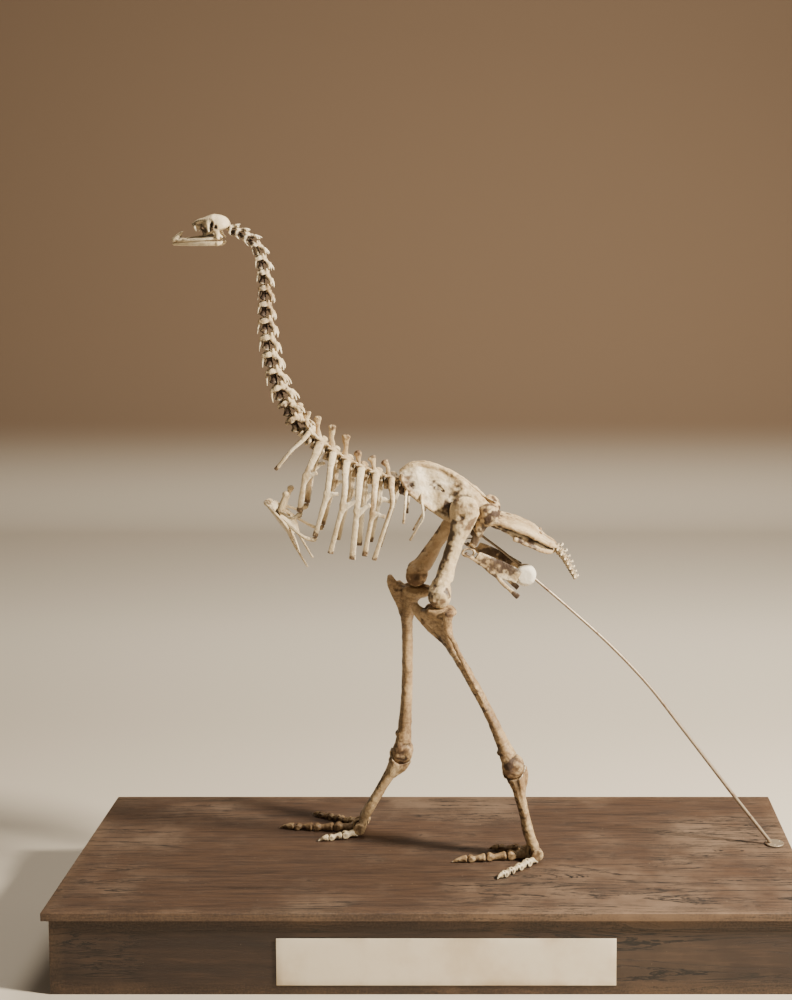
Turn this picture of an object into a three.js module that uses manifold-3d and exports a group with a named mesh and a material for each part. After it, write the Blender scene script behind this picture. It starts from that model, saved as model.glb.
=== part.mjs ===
// Mounted skeleton of a small bush moa, standing in mid step on a low wooden plinth.
// Millimetres, Z up. The bird faces -X and its left side faces -Y. The origin is the middle of
// the plinth's underside. Every bone is modelled in the bird's own frame, whose y = 0 is the
// plane between its two sides and whose z = 0 is the top of the plinth.

import * as THREE from "three";
import { mergeVertices } from "three/addons/utils/BufferGeometryUtils.js";
import Module from "manifold-3d";

const wasm = await Module();
wasm.setup();

// Driving dimensions
const JOINT_GAP = 0.3;
const PLINTH_LENGTH = 1474;
const PLINTH_DEPTH = 615;
const PLINTH_HEIGHT = 165;
const SLAB_THICKNESS = 16;
const SLAB_OVERHANG = 12;
const BOARD_THICKNESS = 18;
const LABEL_LENGTH = 645;
const LABEL_HEIGHT = 92;
const LABEL_THICKNESS = 2;
const LABEL_CENTRE = { x: 28.5, z: 65 };
const BIRD_Y = 28;

// The whole backbone is one line in the plane between the bird's sides, from the skull to the tail
const SPINE_LINE = [
  [-417, 1285], [-392, 1274], [-366, 1254], [-353, 1222], [-346.5, 1160], [-345, 1100],
  [-338, 1035], [-325, 977], [-299, 914], [-268, 861], [-241, 836], [-214, 815], [-185, 797],
  [-123, 769], [-76, 757], [0, 737], [110, 690], [238, 637], [262, 610], [274, 588], [286, 565],
];
const NECK_BASE = [-280, 873];
const PELVIS_START = [-76, 757];
const TAIL_START = [243, 633];

const CERVICAL_COUNT = 15;
const NECK_WIDTH = { head: 22, base: 54 };
const NECK_HEIGHT = { head: 25, base: 50 };
const NECK_CUTS = [5, 10];
const CERVICAL_SPINES = [24, 34, 44];

const DORSAL_COUNT = 7;
const DORSAL_SPINES = [
  { lean: 3, rise: 54 }, { lean: 0, rise: 67 }, { lean: 3, rise: 70 }, { lean: 2, rise: 68 },
  { lean: -6, rise: 50 }, { lean: -8, rise: 52 }, { lean: -14, rise: 53 },
];
const CAUDAL_COUNT = 7;

// Each rib: middle and tip in side view, half the chest's width there, and the breadth of the bone
const RIBS = [
  { mid: [-290, 840], tip: [-324, 799], flare: 50, breadth: 9, hook: null },
  { mid: [-262, 785], tip: [-275, 715], flare: 66, breadth: 15, hook: [22, 7] },
  { mid: [-217, 755], tip: [-243, 667], flare: 76, breadth: 13, hook: [22, 1] },
  { mid: [-182, 745], tip: [-212, 633], flare: 82, breadth: 13, hook: [33, 12] },
  { mid: [-155, 735], tip: [-168, 621], flare: 84, breadth: 14, hook: [26, 14] },
  { mid: [-124, 725], tip: [-143, 628], flare: 84, breadth: 13, hook: [24, -6] },
  { mid: [-86, 735], tip: [-124, 619], flare: 80, breadth: 11, hook: null },
];
const RIB_THICKNESS = 6;
const LAST_RIB = { root: [-30, 742], mid: [-24, 706], tip: [-52, 656], flare: 62, breadth: 7 };
const FALSE_RIB = { root: [-60, 752], mid: [-61, 727], tip: [-65, 692], flare: 68, breadth: 8 };

// Pelvis sections along X: top, bottom, and half widths at the ridge, the side and the lower edge
const PELVIS_FRONT = [
  { x: -73, top: 796, low: 774, ridge: 10, side: 30, edge: 30 },
  { x: -55, top: 811, low: 750, ridge: 12, side: 36, edge: 40 },
  { x: -25, top: 813, low: 724, ridge: 12, side: 30, edge: 36 },
  { x: 8, top: 801, low: 702, ridge: 12, side: 28, edge: 34 },
  { x: 50, top: 780, low: 690, ridge: 15, side: 38, edge: 42 },
  { x: 92, top: 743, low: 688, ridge: 24, side: 54, edge: 52 },
  { x: 122, top: 722, low: 690, ridge: 34, side: 64, edge: 58 },
];
const PELVIS_REAR = [
  { x: 100, top: 714, low: 694, ridge: 34, side: 62, edge: 56 },
  { x: 126, top: 699, low: 680, ridge: 44, side: 68, edge: 65 },
  { x: 160, top: 691, low: 658, ridge: 46, side: 70, edge: 68 },
  { x: 197, top: 676, low: 638, ridge: 38, side: 58, edge: 56 },
  { x: 224, top: 654, low: 625, ridge: 24, side: 40, edge: 36 },
  { x: 247, top: 640, low: 622, ridge: 10, side: 16, edge: 12 },
];
const SACRUM_SIZES = [[30, 30], [34, 34], [34, 30], [18, 16]];
const HIP = { x: 57, y: 47, z: 714, ball: 17 };

// Legs: joint centres, the ground points of the toes, which way each leg faces, and how deep
// the shaft of its shin bone is from front to back. A splint list says how far behind the middle
// of the shin its splint bone lies, at each of its stations
const LEGS = {
  left: {
    sign: -1,
    knee: [9, -88, 554],
    crest: [-41, -84, 531],
    crestMiddle: [-4, 490],
    bow: [0, 13, 22, 11, 3, 1, 0],
    shin: 22,
    splint: [14, 11, 5, 13, 5, 2],
    ankle: [156, -80, 196],
    foot: [196, -72, 18],
    toes: { inner: [103, -30], middle: [30, -98], outer: [124, -182] },
  },
  right: {
    sign: 1,
    knee: [-47, 86, 556],
    crest: [-103, 84, 552],
    crestMiddle: [-74, 500],
    bow: [0, 8, 13, 6, 1, 0, 0],
    shin: 25,
    splint: [14, 7, 0, 2, 4, 2],
    ankle: [-78, 78, 174],
    foot: [-170, 68, 18],
    toes: { inner: [-254, 13], middle: [-346, 88], outer: [-284, 166] },
  },
};
// Places down the shin at which its bow, the distance in front of a straight line, is given
const BOW_AT = [0, 0.12, 0.25, 0.45, 0.65, 0.85, 1];
// Stations of a splint bone: how far down the shin, how far out, then width and depth
const SPLINT = [
  [0.075, 39, 12, 24], [0.12, 38, 11, 18], [0.165, 34, 9, 14], [0.28, 27, 7, 10],
  [0.42, 19, 6, 7], [0.61, 16, 4, 4],
];
const KNEE_RADIUS = 22;
const ANKLE_RADIUS = 22;
const TROCHLEA = { spread: 25, middle: 14, side: 12 };
const TOES = {
  inner: { place: -1, bones: 3, width: 20 },
  middle: { place: 0, bones: 4, width: 25 },
  outer: { place: 1, bones: 5, width: 20 },
};
const BONE_BOTTOM = 0.3;

// Breastbone and the ribs that join it to the chest
const STERNUM = { nose: [-349, 722], heel: [-296, 650], width: 104, thickness: 5 };

// Head
const BRAINCASE = { x: -446, z: 1292, length: 58, width: 54, height: 47 };
const BILL_TIP = [-536, 1257];
const BILL_SPUR = [-513, 1279];
const JAW_HINGE = { x: -437, y: 22, z: 1261 };

// Iron support
// It starts in the underside of the pelvis
const ROD_LINE = [
  [34, 706], [86, 660], [138, 620], [206, 561], [276, 500], [357, 426], [437, 341], [510, 247],
  [620, 102], [704, -6],
];
const ROD_DIAMETER = { top: 5, bottom: 8 };
const KNOB = { x: 181, z: 573, diameter: 46, thickness: 26 };
const ROD_FLANGE = { diameter: 40, thickness: 4 };

const COLOURS = {
  bone: 0xd9c9a3,
  darkBone: 0x8a6a45,
  wood: 0x5b4330,
  card: 0xe9e0c8,
  iron: 0x4a4642,
  plaster: 0xe6ddc8,
};

// Repeatable random numbers, so that no two vertebrae or ribs are quite alike
let seed = 20260;
function draw(low, high) {
  seed = (seed * 48271) % 2147483647;
  return low + (high - low) * (seed / 2147483647);
}

const vector = (x, y, z) => new THREE.Vector3(x, y, z);
const mix = (a, b, t) => a + (b - a) * t;
const SIDEWAYS = vector(0, 1, 0);

// A closed skin over rings of points: a cylinder whose rings are moved to the given places
function skin(rings) {
  const sides = rings[0].length;
  const last = rings.length - 1;
  const geometry = new THREE.CylinderGeometry(1, 1, 1, sides, last);
  const centres = [rings[0], rings[last]].map((ring) => {
    const middle = vector(0, 0, 0);
    ring.forEach((point) => middle.add(point));
    return middle.divideScalar(sides);
  });
  const place = geometry.attributes.position;
  for (let i = 0; i < place.count; i += 1) {
    const row = Math.round((0.5 - place.getY(i)) * last);
    const turn = Math.atan2(place.getX(i), place.getZ(i)) / (2 * Math.PI);
    const column = ((Math.round(turn * sides) % sides) + sides) % sides;
    const onAxis = Math.hypot(place.getX(i), place.getZ(i)) < 0.5;
    const target = onAxis ? centres[row === 0 ? 0 : 1] : rings[row][column];
    place.setXYZ(i, target.x, target.y, target.z);
  }
  return solid(geometry);
}

// Turns a closed geometry into a solid that can be joined and cut
function solid(geometry) {
  const plain = geometry.clone();
  plain.deleteAttribute("normal");
  plain.deleteAttribute("uv");
  const merged = mergeVertices(plain, 1e-4);
  const points = merged.attributes.position;
  const corners = Array.from(merged.index.array);
  const kept = [];
  let volume = 0;
  const [a, b, c] = [vector(0, 0, 0), vector(0, 0, 0), vector(0, 0, 0)];
  for (let i = 0; i < corners.length; i += 3) {
    const [p, q, r] = corners.slice(i, i + 3);
    if (p !== q && q !== r && r !== p) {
      a.fromBufferAttribute(points, p);
      b.fromBufferAttribute(points, q);
      c.fromBufferAttribute(points, r);
      volume += a.dot(b.cross(c));
      kept.push([p, q, r]);
    }
  }
  const facing = volume < 0 ? kept.map(([p, q, r]) => [p, r, q]) : kept;
  return new wasm.Manifold(new wasm.Mesh({
    numProp: 3,
    vertProperties: new Float32Array(points.array),
    triVerts: new Uint32Array(facing.flat()),
  }));
}

function join(pieces) {
  return pieces.reduce((whole, piece) => whole.add(piece));
}

// One closed body out of a joined or cut solid: its largest piece
function largest(body) {
  const pieces = body.decompose();
  return pieces.reduce((best, piece) => (piece.volume() > best.volume() ? piece : best));
}

// The faces of a bone are round it in rings, set across its own line. A station is
// [x, y, z, width, depth], with the width measured along the sideways direction.
function loft(stations, { sides = 8, sideways = SIDEWAYS, grow = 0, ends = 0 } = {}) {
  const places = stations.map((s) => vector(s[0], s[1], s[2]));
  const rings = stations.map((s, i) => {
    const before = places[Math.max(i - 1, 0)];
    const after = places[Math.min(i + 1, places.length - 1)];
    const along = after.clone().sub(before).normalize();
    const across = sideways.clone().addScaledVector(along, -along.dot(sideways)).normalize();
    const up = along.clone().cross(across);
    const centre = places[i].clone();
    if (i === 0) centre.addScaledVector(along, -ends);
    if (i === places.length - 1) centre.addScaledVector(along, ends);
    const ring = [];
    for (let k = 0; k < sides; k += 1) {
      const angle = ((k + 0.5) / sides) * 2 * Math.PI;
      const half = [s[3] / 2 + grow, s[4] / 2 + grow];
      ring.push(centre.clone()
        .addScaledVector(across, half[0] * Math.cos(angle))
        .addScaledVector(up, half[1] * Math.sin(angle)));
    }
    return ring;
  });
  return skin(rings);
}

// A round bar between two points
function bar(from, to, radius, sides = 12) {
  return loft([[...from, 2 * radius, 2 * radius], [...to, 2 * radius, 2 * radius]], {
    sides,
    sideways: Math.abs(to[1] - from[1]) > Math.abs(to[2] - from[2]) ? vector(0, 0, 1) : SIDEWAYS,
  });
}

function ball(x, y, z, sizes, sides = 10) {
  const geometry = new THREE.SphereGeometry(0.5, sides, Math.round(sides * 0.6));
  geometry.rotateX(Math.PI / 2);
  geometry.scale(...sizes);
  geometry.translate(x, y, z);
  return solid(geometry);
}

function block(x, y, z, length, depth, height) {
  const geometry = new THREE.BoxGeometry(length, depth, height);
  geometry.translate(x, y, z);
  return solid(geometry);
}

// A smooth line in the plane between the bird's sides
function midLine(points) {
  return new THREE.CatmullRomCurve3(points.map(([x, z]) => vector(x, 0, z)), false, "centripetal");
}

// How far along a line, from 0 to 1, it comes nearest to a point
function nearest(line, [x, z]) {
  const steps = 2000;
  const target = vector(x, 0, z);
  let best = 0;
  let least = Infinity;
  for (let i = 0; i <= steps; i += 1) {
    const distance = line.getPointAt(i / steps).distanceTo(target);
    if (distance < least) {
      least = distance;
      best = i / steps;
    }
  }
  return best;
}

// Everything beyond a plane that stands across a line, on the side that the direction points to
const REACH = 900;
function beyond(line, at, forward) {
  const along = line.getTangentAt(at).multiplyScalar(forward);
  const start = line.getPointAt(at).addScaledVector(along, JOINT_GAP / 2);
  const geometry = new THREE.BoxGeometry(REACH, REACH, REACH);
  geometry.translate(0, 0, REACH / 2);
  geometry.rotateY(Math.atan2(along.x, along.z));
  geometry.translate(start.x, start.y, start.z);
  return solid(geometry);
}

// The length of a body between two places on its line
function stretch(body, line, from, to) {
  return body.intersect(beyond(line, from, 1)).intersect(beyond(line, to, -1));
}

const parts = [];
function part(name, body, colour, roughness = 0.75, metalness = 0) {
  const mesh = largest(body).getMesh();
  const geometry = new THREE.BufferGeometry();
  geometry.setAttribute("position", new THREE.BufferAttribute(mesh.vertProperties, 3));
  geometry.setIndex(new THREE.BufferAttribute(mesh.triVerts, 1));
  geometry.computeVertexNormals();
  const material = new THREE.MeshStandardMaterial({ color: colour, roughness, metalness });
  const item = new THREE.Mesh(geometry, material);
  item.name = name;
  parts.push(item);
  return item;
}

// A frame on a line: a place forward along it, out to one side and up towards the back
function frameAt(line, at) {
  const along = line.getTangentAt(at);
  const centre = line.getPointAt(at);
  const up = vector(-along.z, 0, along.x);
  return (forward, side, rise) => [
    centre.x + along.x * forward + up.x * rise,
    side,
    centre.z + along.z * forward + up.z * rise,
  ];
}

// Bones in a row on the backbone: for each its frame, its length, and how far along the row it is
function row(line, from, to, shares) {
  const sum = shares.reduce((a, b) => a + b);
  const bones = [];
  let start = from;
  shares.forEach((share) => {
    const size = ((to - from) * share) / sum;
    const middle = start + size / 2;
    bones.push({
      at: frameAt(line, middle),
      long: size * line.getLength(),
      t: (middle - from) / (to - from),
      start,
    });
    start += size;
  });
  return bones;
}

// Neck vertebrae, short behind the head and long further down
function cervicals(bones) {
  const stations = [];
  const pieces = [];
  bones.forEach(({ at, long, t }, i) => {
    const wide = mix(NECK_WIDTH.head, NECK_WIDTH.base, t) * draw(0.96, 1.04);
    const high = mix(NECK_HEIGHT.head, NECK_HEIGHT.base, t) * draw(0.96, 1.04);
    stations.push(
      [...at(-0.46 * long, 0, -0.04 * high), 0.6 * wide, 0.44 * high],
      [...at(-0.28 * long, 0, -0.02 * high), 0.9 * wide, 0.56 * high],
      [...at(0.06 * long, 0, 0.02 * high), 0.42 * wide, 0.6 * high],
      [...at(0.4 * long, 0, 0.06 * high), 0.58 * wide, 0.78 * high],
    );
    [-1, 1].forEach((side) => {
      pieces.push(loft([
        [...at(0.12 * long, side * 0.16 * wide, 0.24 * high), 0.24 * wide, 0.26 * high],
        [...at(0.66 * long, side * 0.27 * wide, 0.38 * high), 0.2 * wide, 0.16 * high],
      ], { sides: 4 }));
      if (i < bones.length - 1) {
        pieces.push(loft([
          [...at(-0.4 * long, side * 0.3 * wide, -0.16 * high), 0.18 * wide, 0.34 * high],
          [...at(0.34 * long, side * 0.26 * wide, -0.48 * high), 0.05 * wide, 0.06 * high],
        ], { sides: 4 }));
      }
    });
    const rise = CERVICAL_SPINES[i - bones.length + CERVICAL_SPINES.length];
    if (rise) {
      const [x, , z] = at(0.15 * long, 0, 0.1 * high);
      pieces.push(loft([
        [x - 2, 0, z, 12, 22],
        [x, 0, z + 0.6 * rise, 8, 11],
        [x, 0, z + rise - 7, 9, 15],
        [x, 0, z + rise, 8, 13],
      ], { sides: 6 }));
    }
  });
  return join([loft(stations), ...pieces]);
}

// Vertebrae of the back, each with a tall flat spine that ends in a knob
function dorsals(bones) {
  const stations = [];
  const pieces = [];
  bones.forEach(({ at, long }, i) => {
    const { lean, rise } = DORSAL_SPINES[i];
    const [x, , z] = at(0, 0, 0);
    stations.push(
      [...at(-0.46 * long, 0, 5), 27, 35],
      [...at(0, 0, 9), 19, 33],
      [...at(0.42 * long, 0, 5), 27, 36],
    );
    pieces.push(loft([
      [x, 0, z + 12, 9, 21],
      [x + 0.5 * lean, 0, z + 0.55 * rise, 5, 10],
      [x + lean, 0, z + rise - 10, 7, 15],
      [x + lean, 0, z + rise, 9, 15 * draw(0.9, 1.1)],
    ], { sides: 6 }));
  });
  return join([loft(stations), ...pieces]);
}

// A rib from the side of its vertebra, out round the chest and down to its tip
function rib(root, { mid, tip, flare, breadth, hook }, side, thickness) {
  const path = new THREE.CatmullRomCurve3([
    vector(root[0], side * 5, root[1]),
    vector(root[0], side * 36, root[1] + 8),
    vector(mix(root[0], mid[0], 0.4), side * 0.86 * flare, mix(root[1], mid[1], 0.42)),
    vector(mid[0], side * flare, mid[1]),
    vector(mix(mid[0], tip[0], 0.5), side * 0.97 * flare, mix(mid[1], tip[1], 0.5)),
    vector(tip[0], side * 0.84 * flare, tip[1]),
  ], false, "centripetal");
  const widths = [1.5, 1.1, 0.95, 0.88, 0.85, 0.9, 0.85];
  const stations = widths.map((share, i) => {
    const point = path.getPointAt(i / (widths.length - 1));
    return [point.x, point.y, point.z, breadth * share, thickness * mix(1.7, 0.85, Math.sqrt(i / 6))];
  });
  const pieces = [loft(stations, { sides: 6, sideways: vector(1, 0, 0) })];
  if (hook) {
    const from = path.getPointAt(0.5);
    pieces.push(loft([
      [from.x, from.y, from.z - 3, 4, 13],
      [from.x + hook[0], from.y + side, from.z + hook[1], 3, 6],
    ], { sides: 4 }));
  }
  return { body: join(pieces), end: path.getPointAt(1), heading: path.getTangentAt(1) };
}

// Pelvis: a roof-shaped front part, a broad flat rear part, the fused vertebrae below them,
// and the two thin bones that run back and down from each hip
function pelvisSection({ x, top, low, ridge, side, edge }) {
  const mid = mix(low, top, 0.42);
  const half = [[0, top], [ridge, top - 3], [side, mid], [edge, low], [0.4 * edge, low + 2]];
  const points = half.map(([y, z]) => vector(x, y, z));
  const mirrored = half.slice(1).reverse().map(([y, z]) => vector(x, -y, z));
  return [...points, ...mirrored];
}

function pelvis(line, from, to) {
  const sacrum = loft(SACRUM_SIZES.map((size, i) => {
    const place = line.getPointAt(mix(from, to, i / (SACRUM_SIZES.length - 1)));
    return [place.x, 0, place.z, ...size];
  }), { ends: 6 });
  const pieces = [
    skin(PELVIS_FRONT.map(pelvisSection)),
    sacrum.add(skin(PELVIS_REAR.map(pelvisSection))).intersect(beyond(line, to, -1)),
  ];
  pieces[1] = pieces[1].intersect(beyond(line, from, 1));
  [-1, 1].forEach((side) => {
    pieces.push(ball(106, side * 56, 704, [42, 34, 34], 8));
    pieces.push(loft([
      [96, side * 54, 702, 12, 26],
      [82, side * 55, 664, 9, 20],
      [72, side * 53, 642, 9, 20],
    ], { sides: 6 }));
    pieces.push(loft([
      [64, side * 53, 638, 8, 16],
      [84, side * 52, 624, 6, 18],
      [126, side * 46, 596, 5, 36],
      [168, side * 40, 575, 4, 30],
    ], { sides: 6 }));
    pieces.push(loft([
      [66, side * 53, 633, 8, 12],
      [110, side * 46, 588, 5, 7],
      [168, side * 40, 535, 5, 13],
    ], { sides: 6 }));
    pieces.push(rib(LAST_RIB.root, { ...LAST_RIB, hook: null }, side, 4).body);
    pieces.push(rib(FALSE_RIB.root, { ...FALSE_RIB, hook: null }, side, 4).body);
  });
  let body = join(pieces);
  [-1, 1].forEach((side) => {
    body = body.subtract(hipBall(side, JOINT_GAP));
    body = body.subtract(bar([HIP.x, side * HIP.y, HIP.z], [HIP.x, side * 90, HIP.z], HIP.ball + 4));
  });
  return body;
}

function hipBall(side, grow) {
  const size = 2 * (HIP.ball + grow);
  return ball(HIP.x, side * HIP.y, HIP.z, [size, size, size], 12);
}

// Small vertebrae behind the pelvis
function tail(bones) {
  const stations = [];
  const pieces = [];
  bones.forEach(({ at, long, t }) => {
    const wide = mix(24, 10, t);
    stations.push(
      [...at(-0.3 * long, 0, 0), 0.7 * wide, 0.75 * wide],
      [...at(0.3 * long, 0, 0), 0.48 * wide, 0.55 * wide],
    );
    pieces.push(loft([
      [...at(-0.1 * long, -0.75 * wide, 0), 5, 0.26 * wide],
      [...at(0, 0, 1), 7, 0.4 * wide],
      [...at(-0.1 * long, 0.75 * wide, 0), 5, 0.26 * wide],
    ], { sides: 4, sideways: vector(1, 0, 0) }));
    pieces.push(loft([
      [...at(0, 0, 0), 3, 6],
      [...at(1, 0, 0.7 * wide), 3, 5],
    ], { sides: 4 }));
  });
  return join([loft(stations, { sides: 6, ends: 6 }), ...pieces]);
}

// Breastbone: a shallow dished shield, two long hind processes, and two front corners
function sternum() {
  const { nose, heel, width, thickness } = STERNUM;
  const rows = 6;
  const columns = 7;
  const along = vector(heel[0] - nose[0], 0, heel[1] - nose[1]).normalize();
  const out = vector(-along.z, 0, along.x);
  const length = Math.hypot(heel[0] - nose[0], heel[1] - nose[1]);
  const rings = [];
  for (let i = 0; i <= rows; i += 1) {
    const t = i / rows;
    const half = (width / 2) * Math.sqrt(mix(0.22, 1, Math.sin(Math.PI * mix(0.12, 0.8, t)) ** 2));
    const upper = [];
    const lower = [];
    for (let k = 0; k < columns; k += 1) {
      const s = (k / (columns - 1)) * 2 - 1;
      const dish = 16 * s * s;
      const centre = vector(nose[0], 0, nose[1]).addScaledVector(along, t * length);
      centre.addScaledVector(out, dish);
      centre.y = s * half;
      upper.push(centre.clone().addScaledVector(out, thickness / 2));
      lower.push(centre.clone().addScaledVector(out, -thickness / 2));
    }
    rings.push([...upper, ...lower.reverse()]);
  }
  const pieces = [skin(rings)];
  [-1, 1].forEach((side) => {
    pieces.push(loft([
      [-306, side * 43, 686, 14, 6],
      [-290, side * 46, 650, 8, 5],
      [-262, side * 44, 600, 5, 4],
    ], { sides: 6 }));
    pieces.push(loft([
      [-322, side * 34, 706, 14, 12],
      [-306, side * 38, 746, 9, 13],
      [-302, side * 38, 750, 7, 8],
    ], { sides: 6 }));
  });
  return join(pieces);
}

// The two bony links on each side from the breastbone up to the rib tips
function sternalRib(start, { end, heading }, breadth) {
  const tip = end.clone().addScaledVector(heading, JOINT_GAP);
  const lead = end.clone().addScaledVector(heading, 9);
  return loft([
    [...start, 7, 7],
    [mix(start[0], lead.x, 0.55), mix(start[1], lead.y, 0.6), mix(start[2], lead.z, 0.45) - 4, 6, 5],
    [lead.x, lead.y, lead.z, breadth, 5],
    [tip.x, tip.y, tip.z, breadth, 5],
  ], { sides: 6, sideways: vector(1, 0, 0) });
}

function skull() {
  const { x, z, length, width, height } = BRAINCASE;
  const pieces = [
    ball(x, 0, z, [length, width, height], 12),
    ball(-421, 0, 1285, [11, 11, 10], 8),
    loft([[-452, 0, 1304, 42, 18], [-472, 0, 1300, 46, 12], [-494, 0, 1290, 27, 8]], { sides: 8 }),
    loft([
      [BILL_SPUR[0], 0, BILL_SPUR[1], 4, 4],
      [-521, 0, 1270, 10, 8],
      [-529, 0, 1263, 13, 9],
      [BILL_TIP[0], 0, BILL_TIP[1] + 1, 7, 5],
    ], { sides: 8 }),
    loft([
      [-455, 0, 1273, 16, 10],
      [-490, 0, 1266, 9, 6],
      [-513, 0, 1263, 24, 5],
      [-530, 0, 1260.5, 14, 5],
    ], { sides: 6 }),
    loft([[-468, 0, 1286, 4, 30], [-486, 0, 1281, 4, 24]], { sides: 6 }),
  ];
  [-1, 1].forEach((side) => {
    pieces.push(loft([
      [-436, side * 23, 1266, 5, 5],
      [-466, side * 23, 1264, 4, 4],
      [-500, side * 15, 1262, 5, 5],
      [-528, side * 5, 1260.5, 8, 5],
    ], { sides: 6 }));
    pieces.push(loft([
      [-440, side * 19, 1288, 8, 14],
      [JAW_HINGE.x, side * JAW_HINGE.y, JAW_HINGE.z + JOINT_GAP / 2, 12, 12],
    ], { sides: 6 }));
    pieces.push(loft([
      [-462, side * 20, 1298, 9, 12],
      [-460, side * 28, 1278, 3, 5],
    ], { sides: 5 }));
    pieces.push(loft([
      [-490, side * 9, 1291, 8, 9],
      [-484, side * 18, 1280, 3, 5],
      [-486, side * 17, 1266, 3, 4],
    ], { sides: 5 }));
  });
  return join(pieces);
}

function mandible() {
  const pieces = [];
  [-1, 1].forEach((side) => {
    pieces.push(loft([
      [-430, side * 21, 1256.5, 5, 6],
      [JAW_HINGE.x, side * JAW_HINGE.y, 1256, 11, 8],
      [-460, side * 22, 1254.5, 5, 10],
      [-492, side * 15, 1254, 5, 9],
      [-520, side * 6, 1253, 7, 7],
      [-531, side * 1, 1253.5, 8, 6],
    ], { sides: 6 }));
  });
  return join(pieces);
}

// One leg. Joints are round bars across the leg; the lower bone of each joint is hollowed by
// the upper bone's bar, made larger by the joint gap.
function across(point, half, radius, shift = 0) {
  const [x, y, z] = point;
  return bar([x, y - half + shift, z], [x, y + half + shift, z], radius);
}

function femur({ sign, knee }) {
  const [kx, ky, kz] = knee;
  const top = [HIP.x + 2, sign * 76, HIP.z];
  return join([
    loft([
      [...top.slice(0, 2), top[2] + 26, 26, 44],
      [top[0], top[1], top[2] + 6, 34, 64],
      [mix(top[0], kx, 0.26), mix(top[1], ky, 0.2), mix(top[2], kz, 0.26), 36, 44],
      [mix(top[0], kx, 0.5) - 3, mix(top[1], ky, 0.5), mix(top[2], kz, 0.5), 34, 34],
      [mix(top[0], kx, 0.78) - 1, mix(top[1], ky, 0.8), mix(top[2], kz, 0.78), 48, 38],
      [kx, ky, kz, 66, 42],
    ]),
    across([kx, ky, kz], 12, KNEE_RADIUS, -sign * 22),
    across([kx, ky, kz - 3], 13, KNEE_RADIUS, sign * 20),
    bar([HIP.x, sign * HIP.y, HIP.z], [HIP.x, sign * 78, HIP.z], 13, 8),
    hipBall(sign, 0),
  ]);
}

// A point down the shin, from 0 at the knee to 1 at the ankle, out to a side and further back
function shinPoint({ knee, ankle, bow }, t, side = 0, aft = 0) {
  const down = vector(ankle[0] - knee[0], 0, ankle[2] - knee[2]).normalize();
  const i = Math.max(1, BOW_AT.findIndex((place) => place >= t));
  const share = (t - BOW_AT[i - 1]) / (BOW_AT[i] - BOW_AT[i - 1]);
  const ahead = mix(bow[i - 1], bow[i], share);
  return [
    mix(knee[0], ankle[0], t) + ahead * down.z + aft,
    mix(knee[1], ankle[1], t) + side,
    mix(knee[2], ankle[2], t) - ahead * down.x,
  ];
}

function tibiotarsus(leg) {
  const { knee, crest, crestMiddle, ankle, shin } = leg;
  const [kx, ky, kz] = knee;
  const at = (t) => shinPoint(leg, t);
  let body = join([
    loft([
      [...at(0.08), 54, 50],
      [...at(0.17), 42, 38],
      [...at(0.28), 33, shin + 4],
      [...at(0.45), 30, shin],
      [...at(0.68), 30, shin],
      [...at(0.86), 36, shin + 6],
      [...at(0.97), 44, 38],
    ]),
    ball(kx + 2, ky, kz - 37, [64, 66, 28], 8),
    loft([
      [...at(0.25), 16, 24],
      [crestMiddle[0], crest[1], crestMiddle[1], 15, 38],
      [crest[0] + 4, crest[1], crest[2] - 14, 18, 24],
      [crest[0], crest[1], crest[2], 13, 11],
    ], { sides: 6 }),
    across(ankle, 10, ANKLE_RADIUS, -12),
    across(ankle, 10, ANKLE_RADIUS, 12),
    across(ankle, 22, ANKLE_RADIUS - 5),
  ]);
  body = body.subtract(across([kx, ky, kz], 60, KNEE_RADIUS + JOINT_GAP));
  body = body.subtract(across([kx, ky, kz - 3], 60, KNEE_RADIUS + JOINT_GAP));
  return body.subtract(fibula(leg, JOINT_GAP));
}

function fibula(leg, grow = 0) {
  return loft(SPLINT.map(([t, side, width, depth], i) => (
    [...shinPoint(leg, t, leg.sign * side, leg.splint[i]), width, depth]
  )), { sides: 6, grow, ends: grow });
}

// Foot directions: the way the middle toe points, and the line through the three toe joints
function footFrame({ sign, foot, toes }) {
  const heading = vector(toes.middle[0] - foot[0], toes.middle[1] - foot[1], 0).normalize();
  const outward = vector(-heading.y, heading.x, 0).multiplyScalar(-sign);
  const joint = (place) => {
    const back = place === 0 ? 0 : 5;
    return vector(...foot)
      .addScaledVector(outward, place * TROCHLEA.spread)
      .addScaledVector(heading, -back);
  };
  return { heading, outward, joint };
}

function trochlea(leg, place, grow) {
  const { outward, joint } = footFrame(leg);
  const radius = (place === 0 ? TROCHLEA.middle : TROCHLEA.side) + grow;
  const half = (place === 0 ? 12 : 10) + 3 * grow;
  const centre = joint(place);
  const from = centre.clone().addScaledVector(outward, -half);
  const to = centre.clone().addScaledVector(outward, half);
  return bar([from.x, from.y, from.z], [to.x, to.y, to.z], radius);
}

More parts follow.
